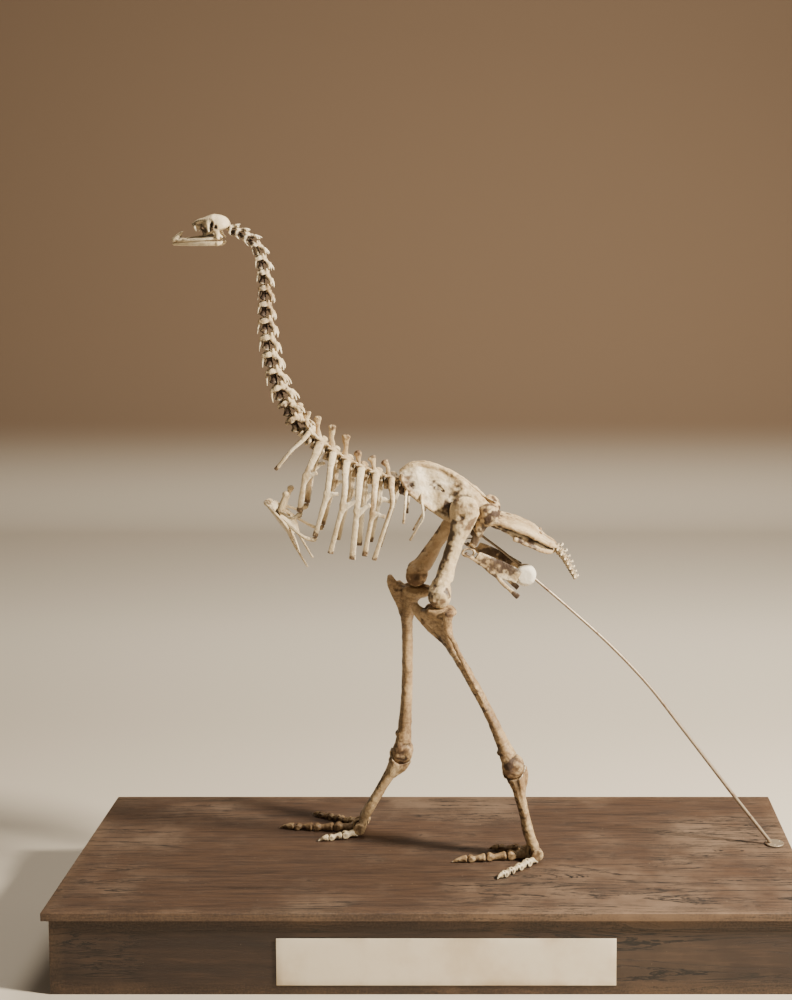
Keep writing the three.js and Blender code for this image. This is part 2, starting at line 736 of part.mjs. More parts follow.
function tarsometatarsus(leg) {
  const { ankle, foot } = leg;
  const { outward, joint } = footFrame(leg);
  const at = (t) => [0, 1, 2].map((k) => mix(ankle[k], foot[k], t));
  const pieces = [
    loft([
      [...at(0.02), 50, 44],
      [...at(0.16), 46, 36],
      [...at(0.34), 36, 26],
      [...at(0.6), 38, 23],
      [...at(0.82), 54, 24],
      [...at(0.92), 60, 22],
    ], { sideways: outward }),
  ];
  [-1, 0, 1].forEach((place) => {
    const end = joint(place);
    const start = vector(...at(0.72)).addScaledVector(outward, place * 17);
    pieces.push(loft([
      [start.x, start.y, start.z, 18, 20],
      [end.x, end.y, end.z, 20, 21],
    ], { sideways: outward, sides: 6 }));
    pieces.push(trochlea(leg, place, 0));
  });
  const body = join(pieces).subtract(across(ankle, 60, ANKLE_RADIUS + JOINT_GAP));
  return body.intersect(block(foot[0], foot[1], 300 + BONE_BOTTOM, 600, 600, 600));
}

// Outlines of one toe bone and of a claw: how far along, how high its middle lies, then the
// width and the height there, all as shares
const KNUCKLED = [
  [0.03, 0.5, 1, 0.98],
  [0.24, 0.46, 0.84, 0.82],
  [0.62, 0.38, 0.62, 0.6],
  [0.88, 0.42, 0.84, 0.76],
];
const CLAWED = [
  [0.03, 0.5, 0.92, 0.96],
  [0.3, 0.46, 0.72, 0.8],
  [0.68, 0.34, 0.42, 0.5],
  [1, 0.12, 0.1, 0.12],
];

// A toe is a row of knuckled bones with a claw at its end, lying on the plinth
function toe(leg, name) {
  const { place, bones, width } = TOES[name];
  const { joint } = footFrame(leg);
  const start = joint(place);
  const tip = vector(...leg.toes[name], 0);
  const run = vector(tip.x - start.x, tip.y - start.y, 0);
  const length = run.length();
  const heading = run.normalize();
  const sideways = vector(-heading.y, heading.x, 0);
  const radius = place === 0 ? TROCHLEA.middle : TROCHLEA.side;
  const shares = [];
  for (let i = 0; i < bones; i += 1) shares.push(i === bones - 1 ? 0.95 : mix(1.35, 0.75, i / bones));
  const sum = shares.reduce((a, b) => a + b);
  const stations = [];
  let done = 0.3 * radius;
  shares.forEach((share, i) => {
    const long = ((length - 0.3 * radius) * share) / sum;
    const t = i / bones;
    const wide = width * mix(1, 0.62, t) * draw(0.96, 1.04);
    const high = mix(2 * radius - 4, 13, Math.sqrt(t));
    const outline = i < bones - 1 ? KNUCKLED : CLAWED;
    outline.forEach(([along, rise, widthShare, highShare]) => {
      const point = start.clone().addScaledVector(heading, done + along * long);
      stations.push([point.x, point.y, rise * high, widthShare * wide, highShare * high]);
    });
    done += long;
  });
  const body = loft(stations, { sides: 7, sideways }).subtract(trochlea(leg, place, JOINT_GAP));
  return body.intersect(block(start.x, start.y, 300 + BONE_BOTTOM, 900, 900, 600));
}

// Iron rod from under the pelvis down to the plinth
function rod(grow = 0) {
  const path = midLine(ROD_LINE);
  const steps = 20;
  const stations = [];
  for (let i = 0; i <= steps; i += 1) {
    const point = path.getPointAt(i / steps);
    const size = mix(ROD_DIAMETER.top, ROD_DIAMETER.bottom, i / steps);
    stations.push([point.x, 0, point.z, size, size]);
  }
  const whole = loft(stations, { sides: 8, grow, ends: grow });
  return whole.intersect(block(0, 0, 600 + BONE_BOTTOM, 2000, 200, 1200));
}

// A round boss on the rod between the hind ends of the pelvis
function knob() {
  const half = KNOB.thickness / 2;
  const centre = [KNOB.x, 0, KNOB.z];
  const body = bar([centre[0], -half, centre[2]], [centre[0], half, centre[2]], KNOB.diameter / 2, 16);
  return body.subtract(rod(JOINT_GAP));
}

// The plate that the rod's foot stands in
function flange() {
  const [x] = ROD_LINE[ROD_LINE.length - 1];
  const bottom = [x, 0, BONE_BOTTOM];
  const body = bar(bottom, [x, 0, BONE_BOTTOM + ROD_FLANGE.thickness], ROD_FLANGE.diameter / 2, 20);
  return body.subtract(rod(JOINT_GAP));
}

// The backbone is made in rows of bones and parted by planes that stand across its line
const spine = midLine(SPINE_LINE);
const neckBase = nearest(spine, NECK_BASE);
const pelvisStart = nearest(spine, PELVIS_START);
const tailStart = nearest(spine, TAIL_START);
const cervicalShares = [];
for (let i = 0; i < CERVICAL_COUNT; i += 1) cervicalShares.push(1 - 0.62 * Math.exp(-i / 3.2));
const neckBones = row(spine, 0, neckBase, cervicalShares);
const backBones = row(spine, neckBase, pelvisStart, Array(DORSAL_COUNT).fill(1));
const tailBones = row(spine, tailStart, 1, [1.15, 1.1, 1.05, 1, 0.95, 0.9, 0.85]);
const neck = cervicals(neckBones);
const [upperCut, lowerCut] = NECK_CUTS.map((i) => neckBones[i].start);
const backFront = block(PELVIS_FRONT[0].x - JOINT_GAP - 400, 0, 700, 800, 200, 1000);
const back = stretch(dorsals(backBones), spine, neckBase, pelvisStart).intersect(backFront);

const SIDES = { left: -1, right: 1 };
const ribEnds = {};
const thorax = {};
Object.entries(SIDES).forEach(([name, side]) => {
  const halfChest = block(0, side * (300 + JOINT_GAP / 2), 700, 1600, 600, 1800);
  const pieces = [back.intersect(halfChest)];
  ribEnds[name] = RIBS.map((shape, i) => {
    const [x, , z] = backBones[i].at(0, 0, 12);
    const made = rib([x, z], shape, side, RIB_THICKNESS);
    pieces.push(made.body);
    return made;
  });
  thorax[name] = join(pieces);
});

const breast = [sternum()];
Object.entries(SIDES).forEach(([name, side]) => {
  breast.push(sternalRib([-318, side * 36, 716], ribEnds[name][1], 12));
  breast.push(sternalRib([-312, side * 44, 700], ribEnds[name][2], 10));
});

part("skull", skull().intersect(beyond(spine, 0, -1)), COLOURS.bone);
part("mandible", mandible(), COLOURS.bone);
part("neck_upper", stretch(neck, spine, 0, upperCut), COLOURS.bone);
part("neck_middle", stretch(neck, spine, upperCut, lowerCut), COLOURS.bone);
part("neck_lower", stretch(neck, spine, lowerCut, neckBase), COLOURS.bone);
part("thorax_left", thorax.left, COLOURS.bone);
part("thorax_right", thorax.right, COLOURS.bone);
part("sternum", join(breast), COLOURS.bone);
part("pelvis", pelvis(spine, pelvisStart, tailStart).subtract(rod(JOINT_GAP)), COLOURS.bone);
part("tail", tail(tailBones).intersect(beyond(spine, tailStart, 1)), COLOURS.bone);

Object.entries(LEGS).forEach(([name, leg]) => {
  part(`femur_${name}`, femur(leg), name === "left" ? COLOURS.bone : COLOURS.darkBone);
  part(`tibiotarsus_${name}`, tibiotarsus(leg), COLOURS.bone);
  part(`fibula_${name}`, fibula(leg), COLOURS.bone);
  part(`tarsometatarsus_${name}`, tarsometatarsus(leg), COLOURS.bone);
  Object.keys(TOES).forEach((toeName) => {
    part(`toe_${toeName}_${name}`, toe(leg, toeName), COLOURS.bone);
  });
});

part("stand_rod", rod(), COLOURS.iron, 0.45, 0.8);
part("stand_knob", knob(), COLOURS.plaster);
part("stand_flange", flange(), COLOURS.iron, 0.5, 0.8);

const bird = new THREE.Group();
bird.position.set(0, BIRD_Y, PLINTH_HEIGHT);
parts.forEach((item) => bird.add(item));

// The plinth: a box of boards under an overhanging top, with the label card on its front
const BOX_LENGTH = PLINTH_LENGTH - 2 * SLAB_OVERHANG;
const BOX_DEPTH = PLINTH_DEPTH - 2 * SLAB_OVERHANG;
const BOX_HEIGHT = PLINTH_HEIGHT - SLAB_THICKNESS - JOINT_GAP;
const boardY = (BOX_DEPTH - BOARD_THICKNESS) / 2;
const boardX = (BOX_LENGTH - BOARD_THICKNESS) / 2;
const sideDepth = BOX_DEPTH - 2 * BOARD_THICKNESS - 2 * JOINT_GAP;
const labelY = -BOX_DEPTH / 2 - JOINT_GAP - LABEL_THICKNESS / 2;
const plinth = new THREE.Group();
function board(name, size, place, colour) {
  const material = new THREE.MeshStandardMaterial({ color: colour, roughness: 0.7, metalness: 0 });
  const item = new THREE.Mesh(new THREE.BoxGeometry(...size), material);
  item.name = name;
  item.position.set(...place);
  plinth.add(item);
}
const slabZ = PLINTH_HEIGHT - SLAB_THICKNESS / 2;
board("stand_top", [PLINTH_LENGTH, PLINTH_DEPTH, SLAB_THICKNESS], [0, 0, slabZ], COLOURS.wood);
board("stand_front", [BOX_LENGTH, BOARD_THICKNESS, BOX_HEIGHT], [0, -boardY, BOX_HEIGHT / 2], COLOURS.wood);
board("stand_back", [BOX_LENGTH, BOARD_THICKNESS, BOX_HEIGHT], [0, boardY, BOX_HEIGHT / 2], COLOURS.wood);
board("stand_left", [BOARD_THICKNESS, sideDepth, BOX_HEIGHT], [-boardX, 0, BOX_HEIGHT / 2], COLOURS.wood);
board("stand_right", [BOARD_THICKNESS, sideDepth, BOX_HEIGHT], [boardX, 0, BOX_HEIGHT / 2], COLOURS.wood);
board(
  "stand_label",
  [LABEL_LENGTH, LABEL_THICKNESS, LABEL_HEIGHT],
  [LABEL_CENTRE.x, labelY, LABEL_CENTRE.z],
  COLOURS.card,
);

const model = new THREE.Group();
model.add(plinth, bird);

export default model;
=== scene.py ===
# %% [markdown]
# # A mounted moa skeleton
# This lesson dresses the plain solids of a mounted moa skeleton: every bone is modelled again
# at a fine scale, in the place where the solids stand, and then given a finish of aged bone,
# old stained wood, card and iron. The imported solids come first, as a fixed frame, and their
# box is kept.

# %% Load the frame
import math

import bpy
import numpy as np
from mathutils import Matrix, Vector


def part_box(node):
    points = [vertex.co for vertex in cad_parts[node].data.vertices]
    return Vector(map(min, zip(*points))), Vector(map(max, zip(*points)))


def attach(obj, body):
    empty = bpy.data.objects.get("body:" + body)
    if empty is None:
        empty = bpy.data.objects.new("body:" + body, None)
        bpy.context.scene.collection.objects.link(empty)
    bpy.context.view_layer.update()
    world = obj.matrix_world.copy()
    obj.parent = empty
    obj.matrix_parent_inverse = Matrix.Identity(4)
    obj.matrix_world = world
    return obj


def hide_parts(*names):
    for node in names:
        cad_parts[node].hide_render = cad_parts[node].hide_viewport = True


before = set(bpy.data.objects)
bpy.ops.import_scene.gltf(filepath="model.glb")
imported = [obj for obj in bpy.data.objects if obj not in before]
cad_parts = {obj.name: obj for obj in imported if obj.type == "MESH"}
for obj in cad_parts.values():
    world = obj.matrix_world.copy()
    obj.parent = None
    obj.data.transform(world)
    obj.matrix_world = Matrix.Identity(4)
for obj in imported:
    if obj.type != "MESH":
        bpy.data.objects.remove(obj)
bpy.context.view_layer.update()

# %% [markdown]
# The bird has a frame of its own, in millimetres. Its x runs from head to tail, its y is zero
# in the plane between its two sides, and its z is zero on the plinth's top. The plinth's size is
# read from its own solids, so the bird's frame follows from them.

# %% The bird's own frame
MM = 0.001
top_low, top_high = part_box("stand_top")
BIRD_Y = 28.0
BIRD_Z = round(top_high[2] / MM, 3)
SIDES = {"left": -1, "right": 1}
GAP = 0.4
print("the bird stands", BIRD_Z, "mm above the floor")


def to_metres(points):
    """From the bird's frame in millimetres to the scene's in metres."""
    return (np.asarray(points) + np.array([0.0, BIRD_Y, BIRD_Z])) * MM


# %% [markdown]
# Bones have no flat faces and no hard joins: each lump flows into the next. So they are
# modelled like clay. Every lump is a formula that gives the distance from a point to its
# surface, negative inside. Two lumps are blended by a smooth minimum of their distances, and a
# hollow is pressed in by a smooth maximum. This gives rounder joins than a boolean union does.

# %% Distances and how they blend
FAR = 14.0


def blend_min(a, b, k):
    h = np.maximum(k - np.abs(a - b), 0.0) / k
    return np.minimum(a, b) - h * h * k * 0.25


class Lump:
    """A distance formula with the box that its surface fills."""

    def __init__(self, measure, low, high):
        self.measure = measure
        self.low = np.asarray(low, dtype=np.float32)
        self.high = np.asarray(high, dtype=np.float32)

    def distance(self, p):
        near = np.all((p > self.low - FAR) & (p < self.high + FAR), axis=1)
        out = np.full(len(p), FAR, dtype=np.float32)
        if near.any():
            out[near] = self.measure(p[near])
        return out


def smooth_rows(rows, fine):
    """Puts more rows between the given ones, on a smooth curve through them."""
    rows = np.array(rows, dtype=np.float32)
    if len(rows) < 3 or fine == 1:
        return rows
    padded = np.vstack([2 * rows[0] - rows[1], rows, 2 * rows[-1] - rows[-2]])
    steps = np.arange(fine) / fine
    made = []
    for i in range(1, len(padded) - 2):
        a, b, c, d = padded[i - 1:i + 3]
        for t in steps:
            made.append(0.5 * (2 * b + (c - a) * t + (2 * a - 5 * b + 4 * c - d) * t * t
                               + (3 * b - a - 3 * c + d) * t ** 3))
    made.append(rows[-1])
    made = np.array(made, dtype=np.float32)
    if rows.shape[1] > 3:
        made[:, 3:] = np.maximum(made[:, 3:], rows[:, 3:].min() * 0.9)
    return made


def limb(rows, side=(0, 1, 0), fine=3, cap=1.0):
    """A round or flattened bar. A row is x, y, z, width across the side direction, depth. Its
    ends are round, or flatter where cap is below 1."""
    rows = smooth_rows(rows, fine)
    centres = rows[:, :3]
    halves = rows[:, 3:5] / 2
    side = np.array(side, dtype=np.float32)

    def measure(p):
        best = np.full(len(p), FAR, dtype=np.float32)
        for a, b, ha, hb in zip(centres[:-1], centres[1:], halves[:-1], halves[1:]):
            length = max(float(np.linalg.norm(b - a)), 1e-4)
            w = (b - a) / length
            u = side - w * side.dot(w)
            u = u / max(float(np.linalg.norm(u)), 1e-6)
            v = np.cross(w, u)
            q = p - a
            along = q @ w
            t = np.clip(along / length, 0, 1)
            over = along - t * length
            hu = ha[0] + (hb[0] - ha[0]) * t
            hv = ha[1] + (hb[1] - ha[1]) * t
            hw = np.minimum(hu, hv) * cap
            qu, qv, qw = (q @ u) / hu, (q @ v) / hv, over / hw
            k0 = np.sqrt(qu * qu + qv * qv + qw * qw)
            k1 = np.sqrt((qu / hu) ** 2 + (qv / hv) ** 2 + (qw / hw) ** 2)
            best = np.minimum(best, k0 * (k0 - 1) / np.maximum(k1, 1e-6))
        return best

    reach = halves.max(axis=1)[:, None]
    return Lump(measure, (centres - reach).min(axis=0), (centres + reach).max(axis=0))


def ball(centre, sizes, turn=None):
    """An ellipsoid of the given full sizes, turned by the columns of a matrix if there is one."""
    centre = np.array(centre, dtype=np.float32)
    half = np.array(sizes, dtype=np.float32) / 2

    def measure(p):
        q = p - centre
        if turn is not None:
            q = q @ np.asarray(turn, dtype=np.float32)
        k0 = np.sqrt(((q / half) ** 2).sum(axis=1))
        k1 = np.sqrt(((q / half ** 2) ** 2).sum(axis=1))
        return k0 * (k0 - 1) / np.maximum(k1, 1e-6)

    reach = half.max() if turn is not None else half
    return Lump(measure, centre - reach, centre + reach)


def drum(centre, axis, radius, half, soft=2.0):
    """A short round bar with softened rims, for the rollers of a joint."""
    centre = np.array(centre, dtype=np.float32)
    axis = np.array(axis, dtype=np.float32)
    axis = axis / np.linalg.norm(axis)

    def measure(p):
        q = p - centre
        along = q @ axis
        out = np.sqrt(np.maximum((q * q).sum(axis=1) - along * along, 0)) - radius + soft
        over = np.abs(along) - half + soft
        outside = np.sqrt(np.maximum(out, 0) ** 2 + np.maximum(over, 0) ** 2)
        return outside + np.minimum(np.maximum(out, over), 0) - soft

    reach = np.hypot(radius, half)
    return Lump(measure, centre - reach, centre + reach)


def outline_distance(a, b, corners):
    """Distance in a plane from points (a, b) to a closed outline, negative inside it."""
    least = np.full(len(a), 1e9, dtype=np.float32)
    inside = np.zeros(len(a), dtype=bool)
    for (ax, ay), (bx, by) in zip(corners, np.roll(corners, -1, axis=0)):
        ex, ey = bx - ax, by - ay
        t = np.clip(((a - ax) * ex + (b - ay) * ey) / max(ex * ex + ey * ey, 1e-9), 0, 1)
        least = np.minimum(least, (a - ax - t * ex) ** 2 + (b - ay - t * ey) ** 2)
        if by != ay:
            crosses = ((ay > b) != (by > b)) & (a < ax + ex * (b - ay) / (by - ay))
            inside ^= crosses
    away = np.sqrt(least)
    return np.where(inside, -away, away)


def blade(outline, middle, thickness, axes=(0, 2, 1), reach=(-200, 200), slope=0.85):
    """A thin plate. Its outline lies in the first two axes, and middle(a, b) is its place along
    the third. A thickness may be a number or a function of the same two."""
    corners = np.array(outline, dtype=np.float32)
    first, second, third = axes

    def measure(p):
        a, b = p[:, first], p[:, second]
        half = (thickness(a, b) if callable(thickness) else thickness) / 2
        off = np.abs(p[:, third] - middle(a, b)) * slope
        edge = outline_distance(a, b, corners) + half
        return np.where(edge > 0, np.sqrt(np.maximum(edge, 0) ** 2 + off * off), off) - half

    low, high = np.zeros(3), np.zeros(3)
    low[[first, second]] = corners.min(axis=0)
    high[[first, second]] = corners.max(axis=0)
    low[third], high[third] = reach
    return Lump(measure, low, high)


def past_plane(place, outward):
    """Everything on the outer side of a plane, for cutting clay flat."""
    outward = np.array(outward, dtype=np.float32)
    outward /= np.linalg.norm(outward)
    place = np.array(place, dtype=np.float32)
    return Lump(lambda p: -((p - place) @ outward), (-2000, -2000, -2000), (2000, 2000, 2000))


# %% [markdown]
# A block of clay keeps its lumps in order. To get a surface from it, its distance is measured
# on a grid, but only in the small cubes that the surface can pass through, because the rest
# would take most of the time. A net is then laid: one point in each cell that the surface
# crosses, joined in quads. Last, each point slides onto the true surface, which takes away the
# steps of the grid.

# %% Clay, and the net that is laid over it
CUBE = 8


class Clay:
    def __init__(self, grain):
        self.grain = grain
        self.steps = []

    def add(self, lump, blend=3.0):
        self.steps.append((1, lump, blend))
        return self

    def press(self, lump, blend=2.0):
        self.steps.append((-1, lump, blend))
        return self

    def distance(self, p):
        total = np.full(len(p), FAR, dtype=np.float32)
        for kind, lump, blend in self.steps:
            there = lump.distance(p)
            if kind > 0:
                total = blend_min(total, there, blend)
            else:
                total = -blend_min(-total, there, blend)
        return total

    def field(self):
        """The distances on a grid, exact only near the surface, and the grid's first corner."""
        solid = [lump for kind, lump, blend in self.steps if kind > 0]
        low = np.min([lump.low for lump in solid], axis=0) - 4 * self.grain
        high = np.max([lump.high for lump in solid], axis=0) + 4 * self.grain
        cubes = np.ceil((high - low) / (self.grain * CUBE)).astype(int)
        span = self.grain * CUBE
        index = np.stack(np.meshgrid(*[np.arange(n) for n in cubes], indexing="ij"), axis=-1)
        index = index.reshape(-1, 3)
        centre = self.distance((low + (index + 0.5) * span).astype(np.float32))
        near = np.abs(centre) < min(span * 1.25, FAR - 0.5)
        values = np.repeat(np.repeat(np.repeat(
            np.where(centre < 0, -FAR, FAR).reshape(cubes), CUBE, 0), CUBE, 1), CUBE, 2)
        values = values.astype(np.float32)
        inner = np.stack(np.meshgrid(*[np.arange(CUBE)] * 3, indexing="ij"), axis=-1).reshape(-1, 3)
        samples = (index[near][:, None, :] * CUBE + inner[None, :, :]).reshape(-1, 3)
        places = (low + samples * self.grain).astype(np.float32)
        values[tuple(samples.T)] = self.distance(places)
        return values, low

    def surface(self):
        values, low = self.field()
        points, quads = lay_net(values)
        points = (low + points * self.grain).astype(np.float32)
        normals = None
        for _ in range(2):
            slope, here = self.slope(points)
            normals = slope / np.maximum(np.linalg.norm(slope, axis=1), 1e-6)[:, None]
            move = np.clip(here, -0.5 * self.grain, 0.5 * self.grain)
            points = points - normals * move[:, None]
        return points, quads, normals

    def slope(self, p, step=0.35):
        """Which way is out, and the distance, from four readings round each point."""
        total = np.zeros_like(p)
        mean = np.zeros(len(p), dtype=np.float32)
        for corner in ((1, 1, 1), (1, -1, -1), (-1, 1, -1), (-1, -1, 1)):
            corner = np.array(corner, dtype=np.float32)
            there = self.distance(p + corner * step)
            total += corner * there[:, None]
            mean += there / 4
        return total / (4 * step), mean


def lay_net(values):
    """A quad net over the zero surface of a grid of distances, in grid steps."""
    inside = values < 0
    shape = np.array(values.shape) - 1
    corners = [(i, j, k) for i in (0, 1) for j in (0, 1) for k in (0, 1)]

    def window(array, corner):
        return array[tuple(slice(c, c + n) for c, n in zip(corner, shape))]

    count = sum(window(inside, c).astype(np.int8) for c in corners)
    active = (count > 0) & (count < 8)
    cells = np.argwhere(active)
    names = np.full(active.shape, -1, dtype=np.int64)
    names[tuple(cells.T)] = np.arange(len(cells))
    total = np.zeros((len(cells), 3), dtype=np.float32)
    hits = np.zeros(len(cells), dtype=np.float32)
    readings = {c: values[tuple((cells + c).T)] for c in corners}
    for start in corners:
        for axis in range(3):
            if start[axis] == 1:
                continue
            end = tuple(1 if i == axis else start[i] for i in range(3))
            a, b = readings[start], readings[end]
            crossed = (a < 0) != (b < 0)
            place = np.tile(np.array(start, dtype=np.float32), (len(cells), 1))
            place[:, axis] = a / np.where(crossed, a - b, 1)
            total[crossed] += place[crossed]
            hits[crossed] += 1
    points = cells + total / np.maximum(hits, 1)[:, None]
    quads = []
    for axis in range(3):
        one, two = [i for i in range(3) if i != axis]
        near = [slice(1, -1)] * 3
        near[axis] = slice(0, -1)
        far = [slice(1, -1)] * 3
        far[axis] = slice(1, None)
        begin, finish = inside[tuple(near)], inside[tuple(far)]
        edges = np.argwhere(begin != finish)
        outward = begin[tuple(edges.T)]
        at = edges + 1
        at[:, axis] -= 1
        step_one, step_two = np.eye(3, dtype=int)[one], np.eye(3, dtype=int)[two]
        ring = [names[tuple(q.T)] for q in (at, at - step_one, at - step_one - step_two, at - step_two)]
        ring = np.stack(ring, axis=1)
        flip = outward if axis != 1 else ~outward
        quads.append(np.where(flip[:, None], ring, ring[:, ::-1]))
    return points, np.vstack(quads)


# %% [markdown]
# Old bone isn't smooth. Its skin has shallow waves and fine pits, and its swollen ends are
# rough where cartilage sat. This roughness is a lattice of random numbers, read smoothly and
# pushed into the mesh, so that edges catch the light as well as the middle of a face does.

# %% Roughness, and from clay to a bone
NOISE_SIDE = 32
chance = np.random.default_rng(1866)
LATTICE = chance.random((NOISE_SIDE,) * 3).astype(np.float32) * 2 - 1


def roughness(p, size, shift=0.0):
    """Smooth random waves between -1 and 1, about size millimetres apart."""
    q = p / size + shift
    base = np.floor(q).astype(int)
    f = (q - base).astype(np.float32)
    f = f * f * (3 - 2 * f)
    total = np.zeros(len(p), dtype=np.float32)
    for i in (0, 1):
        for j in (0, 1):
            for k in (0, 1):
                corner = LATTICE[tuple(((base + (i, j, k)) % NOISE_SIDE).T)]
                weight = ((f[:, 0] if i else 1 - f[:, 0]) * (f[:, 1] if j else 1 - f[:, 1])
                          * (f[:, 2] if k else 1 - f[:, 2]))
                total += corner * weight
    return total


HOLLOW_REACH = 4.5
EDGE_REACH = 2.6
store = {}


def nearness(points, spots, full):
    """How near points lie to the closest of some spots, each a place and a radius. The edges
    of a spot are ragged."""
    near = np.zeros(len(points), dtype=np.float32)
    ragged = 0.55 * roughness(points, 11.0, 1.3) + 0.5 * roughness(points, 4.6, 4.1)
    for place, radius in spots:
        away = np.linalg.norm(points - np.array(place, dtype=np.float32), axis=1)
        near = np.maximum(near, np.clip(full - away / radius + ragged, 0, 1))
    return near


def keep(piece, clay, ends=(), tone=None, wave=0.28, lumps=0.0, painted_shade=()):
    """Turns clay into a mesh of the named piece. Ends are spots, a place and a radius, where the bone
    is rough; painted shade spots, given the same way, are where the bone is painted dark as shade.
    Tone says how brown the bone is, and wave and lumps are the heights of fine and broad roughness."""
    points, quads, normals = clay.surface()
    open_air = clay.distance(points + normals * HOLLOW_REACH) / HOLLOW_REACH
    hollow = np.clip(1.1 - open_air, 0, 1)
    edge = np.clip(1 + clay.distance(points - normals * EDGE_REACH) / EDGE_REACH, 0, 1)
    # the second nearness is painted shade: how near a point lies to a spot painted dark where shade falls
    stain, shade_paint = nearness(points, ends, 1.25), nearness(points, painted_shade, 1.3)
    coarse = roughness(points, 7.0) * 0.6 + roughness(points, 3.1, 5.3) * 0.4
    pits = np.clip(roughness(points, 2.3, 9.1) * 1.6 - 0.5, 0, 1)
    move = wave * coarse - (0.15 + 0.75 * stain) * pits * min(1.0, wave * 2.5)
    if lumps:
        move += lumps * (roughness(points, 13.0, 2.7) + 0.5 * roughness(points, 5.5, 7.7))
    points = points + normals * move[:, None]
    tone = float(chance.uniform(0.25, 0.6)) if tone is None else tone
    layers = (hollow, stain, np.full(len(points), tone), edge, shade_paint)
    store.setdefault(piece, []).append((points, quads, *layers))
    return points


def vary(low, high):
    return float(chance.uniform(low, high))


# %% [markdown]
# The whole backbone follows one curve. A bone on it has a small frame of its own: forward
# towards the tail, out to one side, and up towards the back. So a vertebra is described once,
# in shares of its length, width and height, and stands wherever the curve takes it.

# %% The backbone's line
SPINE_LINE = [
    (-417, 1285), (-392, 1274), (-366, 1254), (-353, 1222), (-346.5, 1160), (-345, 1100),
    (-338, 1035), (-325, 977), (-299, 914), (-268, 861), (-241, 836), (-214, 815), (-185, 797),
    (-123, 769), (-76, 757), (0, 737), (110, 690), (238, 637), (262, 610), (274, 588), (286, 565),
]
NECK_BASE = (-280, 873)
PELVIS_START = (-76, 757)
TAIL_START = (243, 633)


class Line:
    """A smooth line in the plane between the bird's sides, measured along its own length."""

    def __init__(self, corners):
        c = np.array(corners, dtype=float)
        c = np.vstack([2 * c[0] - c[1], c, 2 * c[-1] - c[-2]])
        t = np.linspace(0, 1, 100, endpoint=False)[:, None]
        pieces = []
        for p, q, r, s in zip(c[:-3], c[1:-2], c[2:-1], c[3:]):
            d, e, f = [np.linalg.norm(b - a) ** 0.5 for a, b in ((p, q), (q, r), (r, s))]
            m = ((q - p) / d - (r - p) / (d + e) + (r - q) / e) * e
            n = ((r - q) / e - (s - q) / (e + f) + (s - r) / f) * e
            pieces.append((2 * q - 2 * r + m + n) * t ** 3 + (3 * r - 3 * q - 2 * m - n) * t ** 2
                          + m * t + q)
        self.points = np.vstack(pieces + [c[-2:-1]])
        steps = np.linalg.norm(np.diff(self.points, axis=0), axis=1)
        self.far = np.concatenate([[0], np.cumsum(steps)])
        self.length = self.far[-1]

    def place(self, t):
        return np.array([np.interp(t * self.length, self.far, self.points[:, i]) for i in (0, 1)])

    def heading(self, t):
        step = self.place(min(t + 0.001, 1)) - self.place(max(t - 0.001, 0))
        return step / np.linalg.norm(step)

    def nearest(self, place):
        away = np.linalg.norm(self.points - np.array(place), axis=1)
        return self.far[away.argmin()] / self.length


class Station:
    """A place on a line with its own frame: forward along it, out to a side, up to the back."""

    def __init__(self, line, t, long=0.0, share=0.0):
        self.middle = line.place(t)
        self.along = line.heading(t)
        self.long = long
        self.share = share
        self.forward = (self.along[0], 0, self.along[1])

    def at(self, forward, side, rise):
        x, z = (self.middle + self.along * forward
                + np.array([-self.along[1], self.along[0]]) * rise)
        return (x, side, z)


def stations(line, start, end, shares):
    """Bones in a row: each one's station, as long as its share says."""
    total = sum(shares)
    made, begin = [], start
    for share in shares:
        size = (end - start) * share / total
        middle = begin + size / 2
        made.append(Station(line, middle, size * line.length, (middle - start) / (end - start)))
        begin += size
    return made


spine = Line(SPINE_LINE)
neck_base, pelvis_start, tail_start = [
    spine.nearest(place) for place in (NECK_BASE, PELVIS_START, TAIL_START)]
print("backbone", round(spine.length), "mm; neck ends at", round(neck_base * spine.length))


def mix(a, b, t):
    return a + (b - a) * t


# %% [markdown]
# A neck vertebra seen from its side is like a letter X. In front it has a broad side plate with
# a passage behind it for an artery, and arms that reach forward. Behind it has a waist, two arms
# that ride over the next bone, and thin spikes below. The gaps between these parts read as dark
# holes, so each part is its own lump and they only touch where bone does.

# %% Neck vertebrae
CERVICAL_COUNT = 15
NECK_CUTS = (5, 10)
TALL_SPINES = {12: 24, 13: 34, 14: 44}
NECK_GRAIN = 0.95


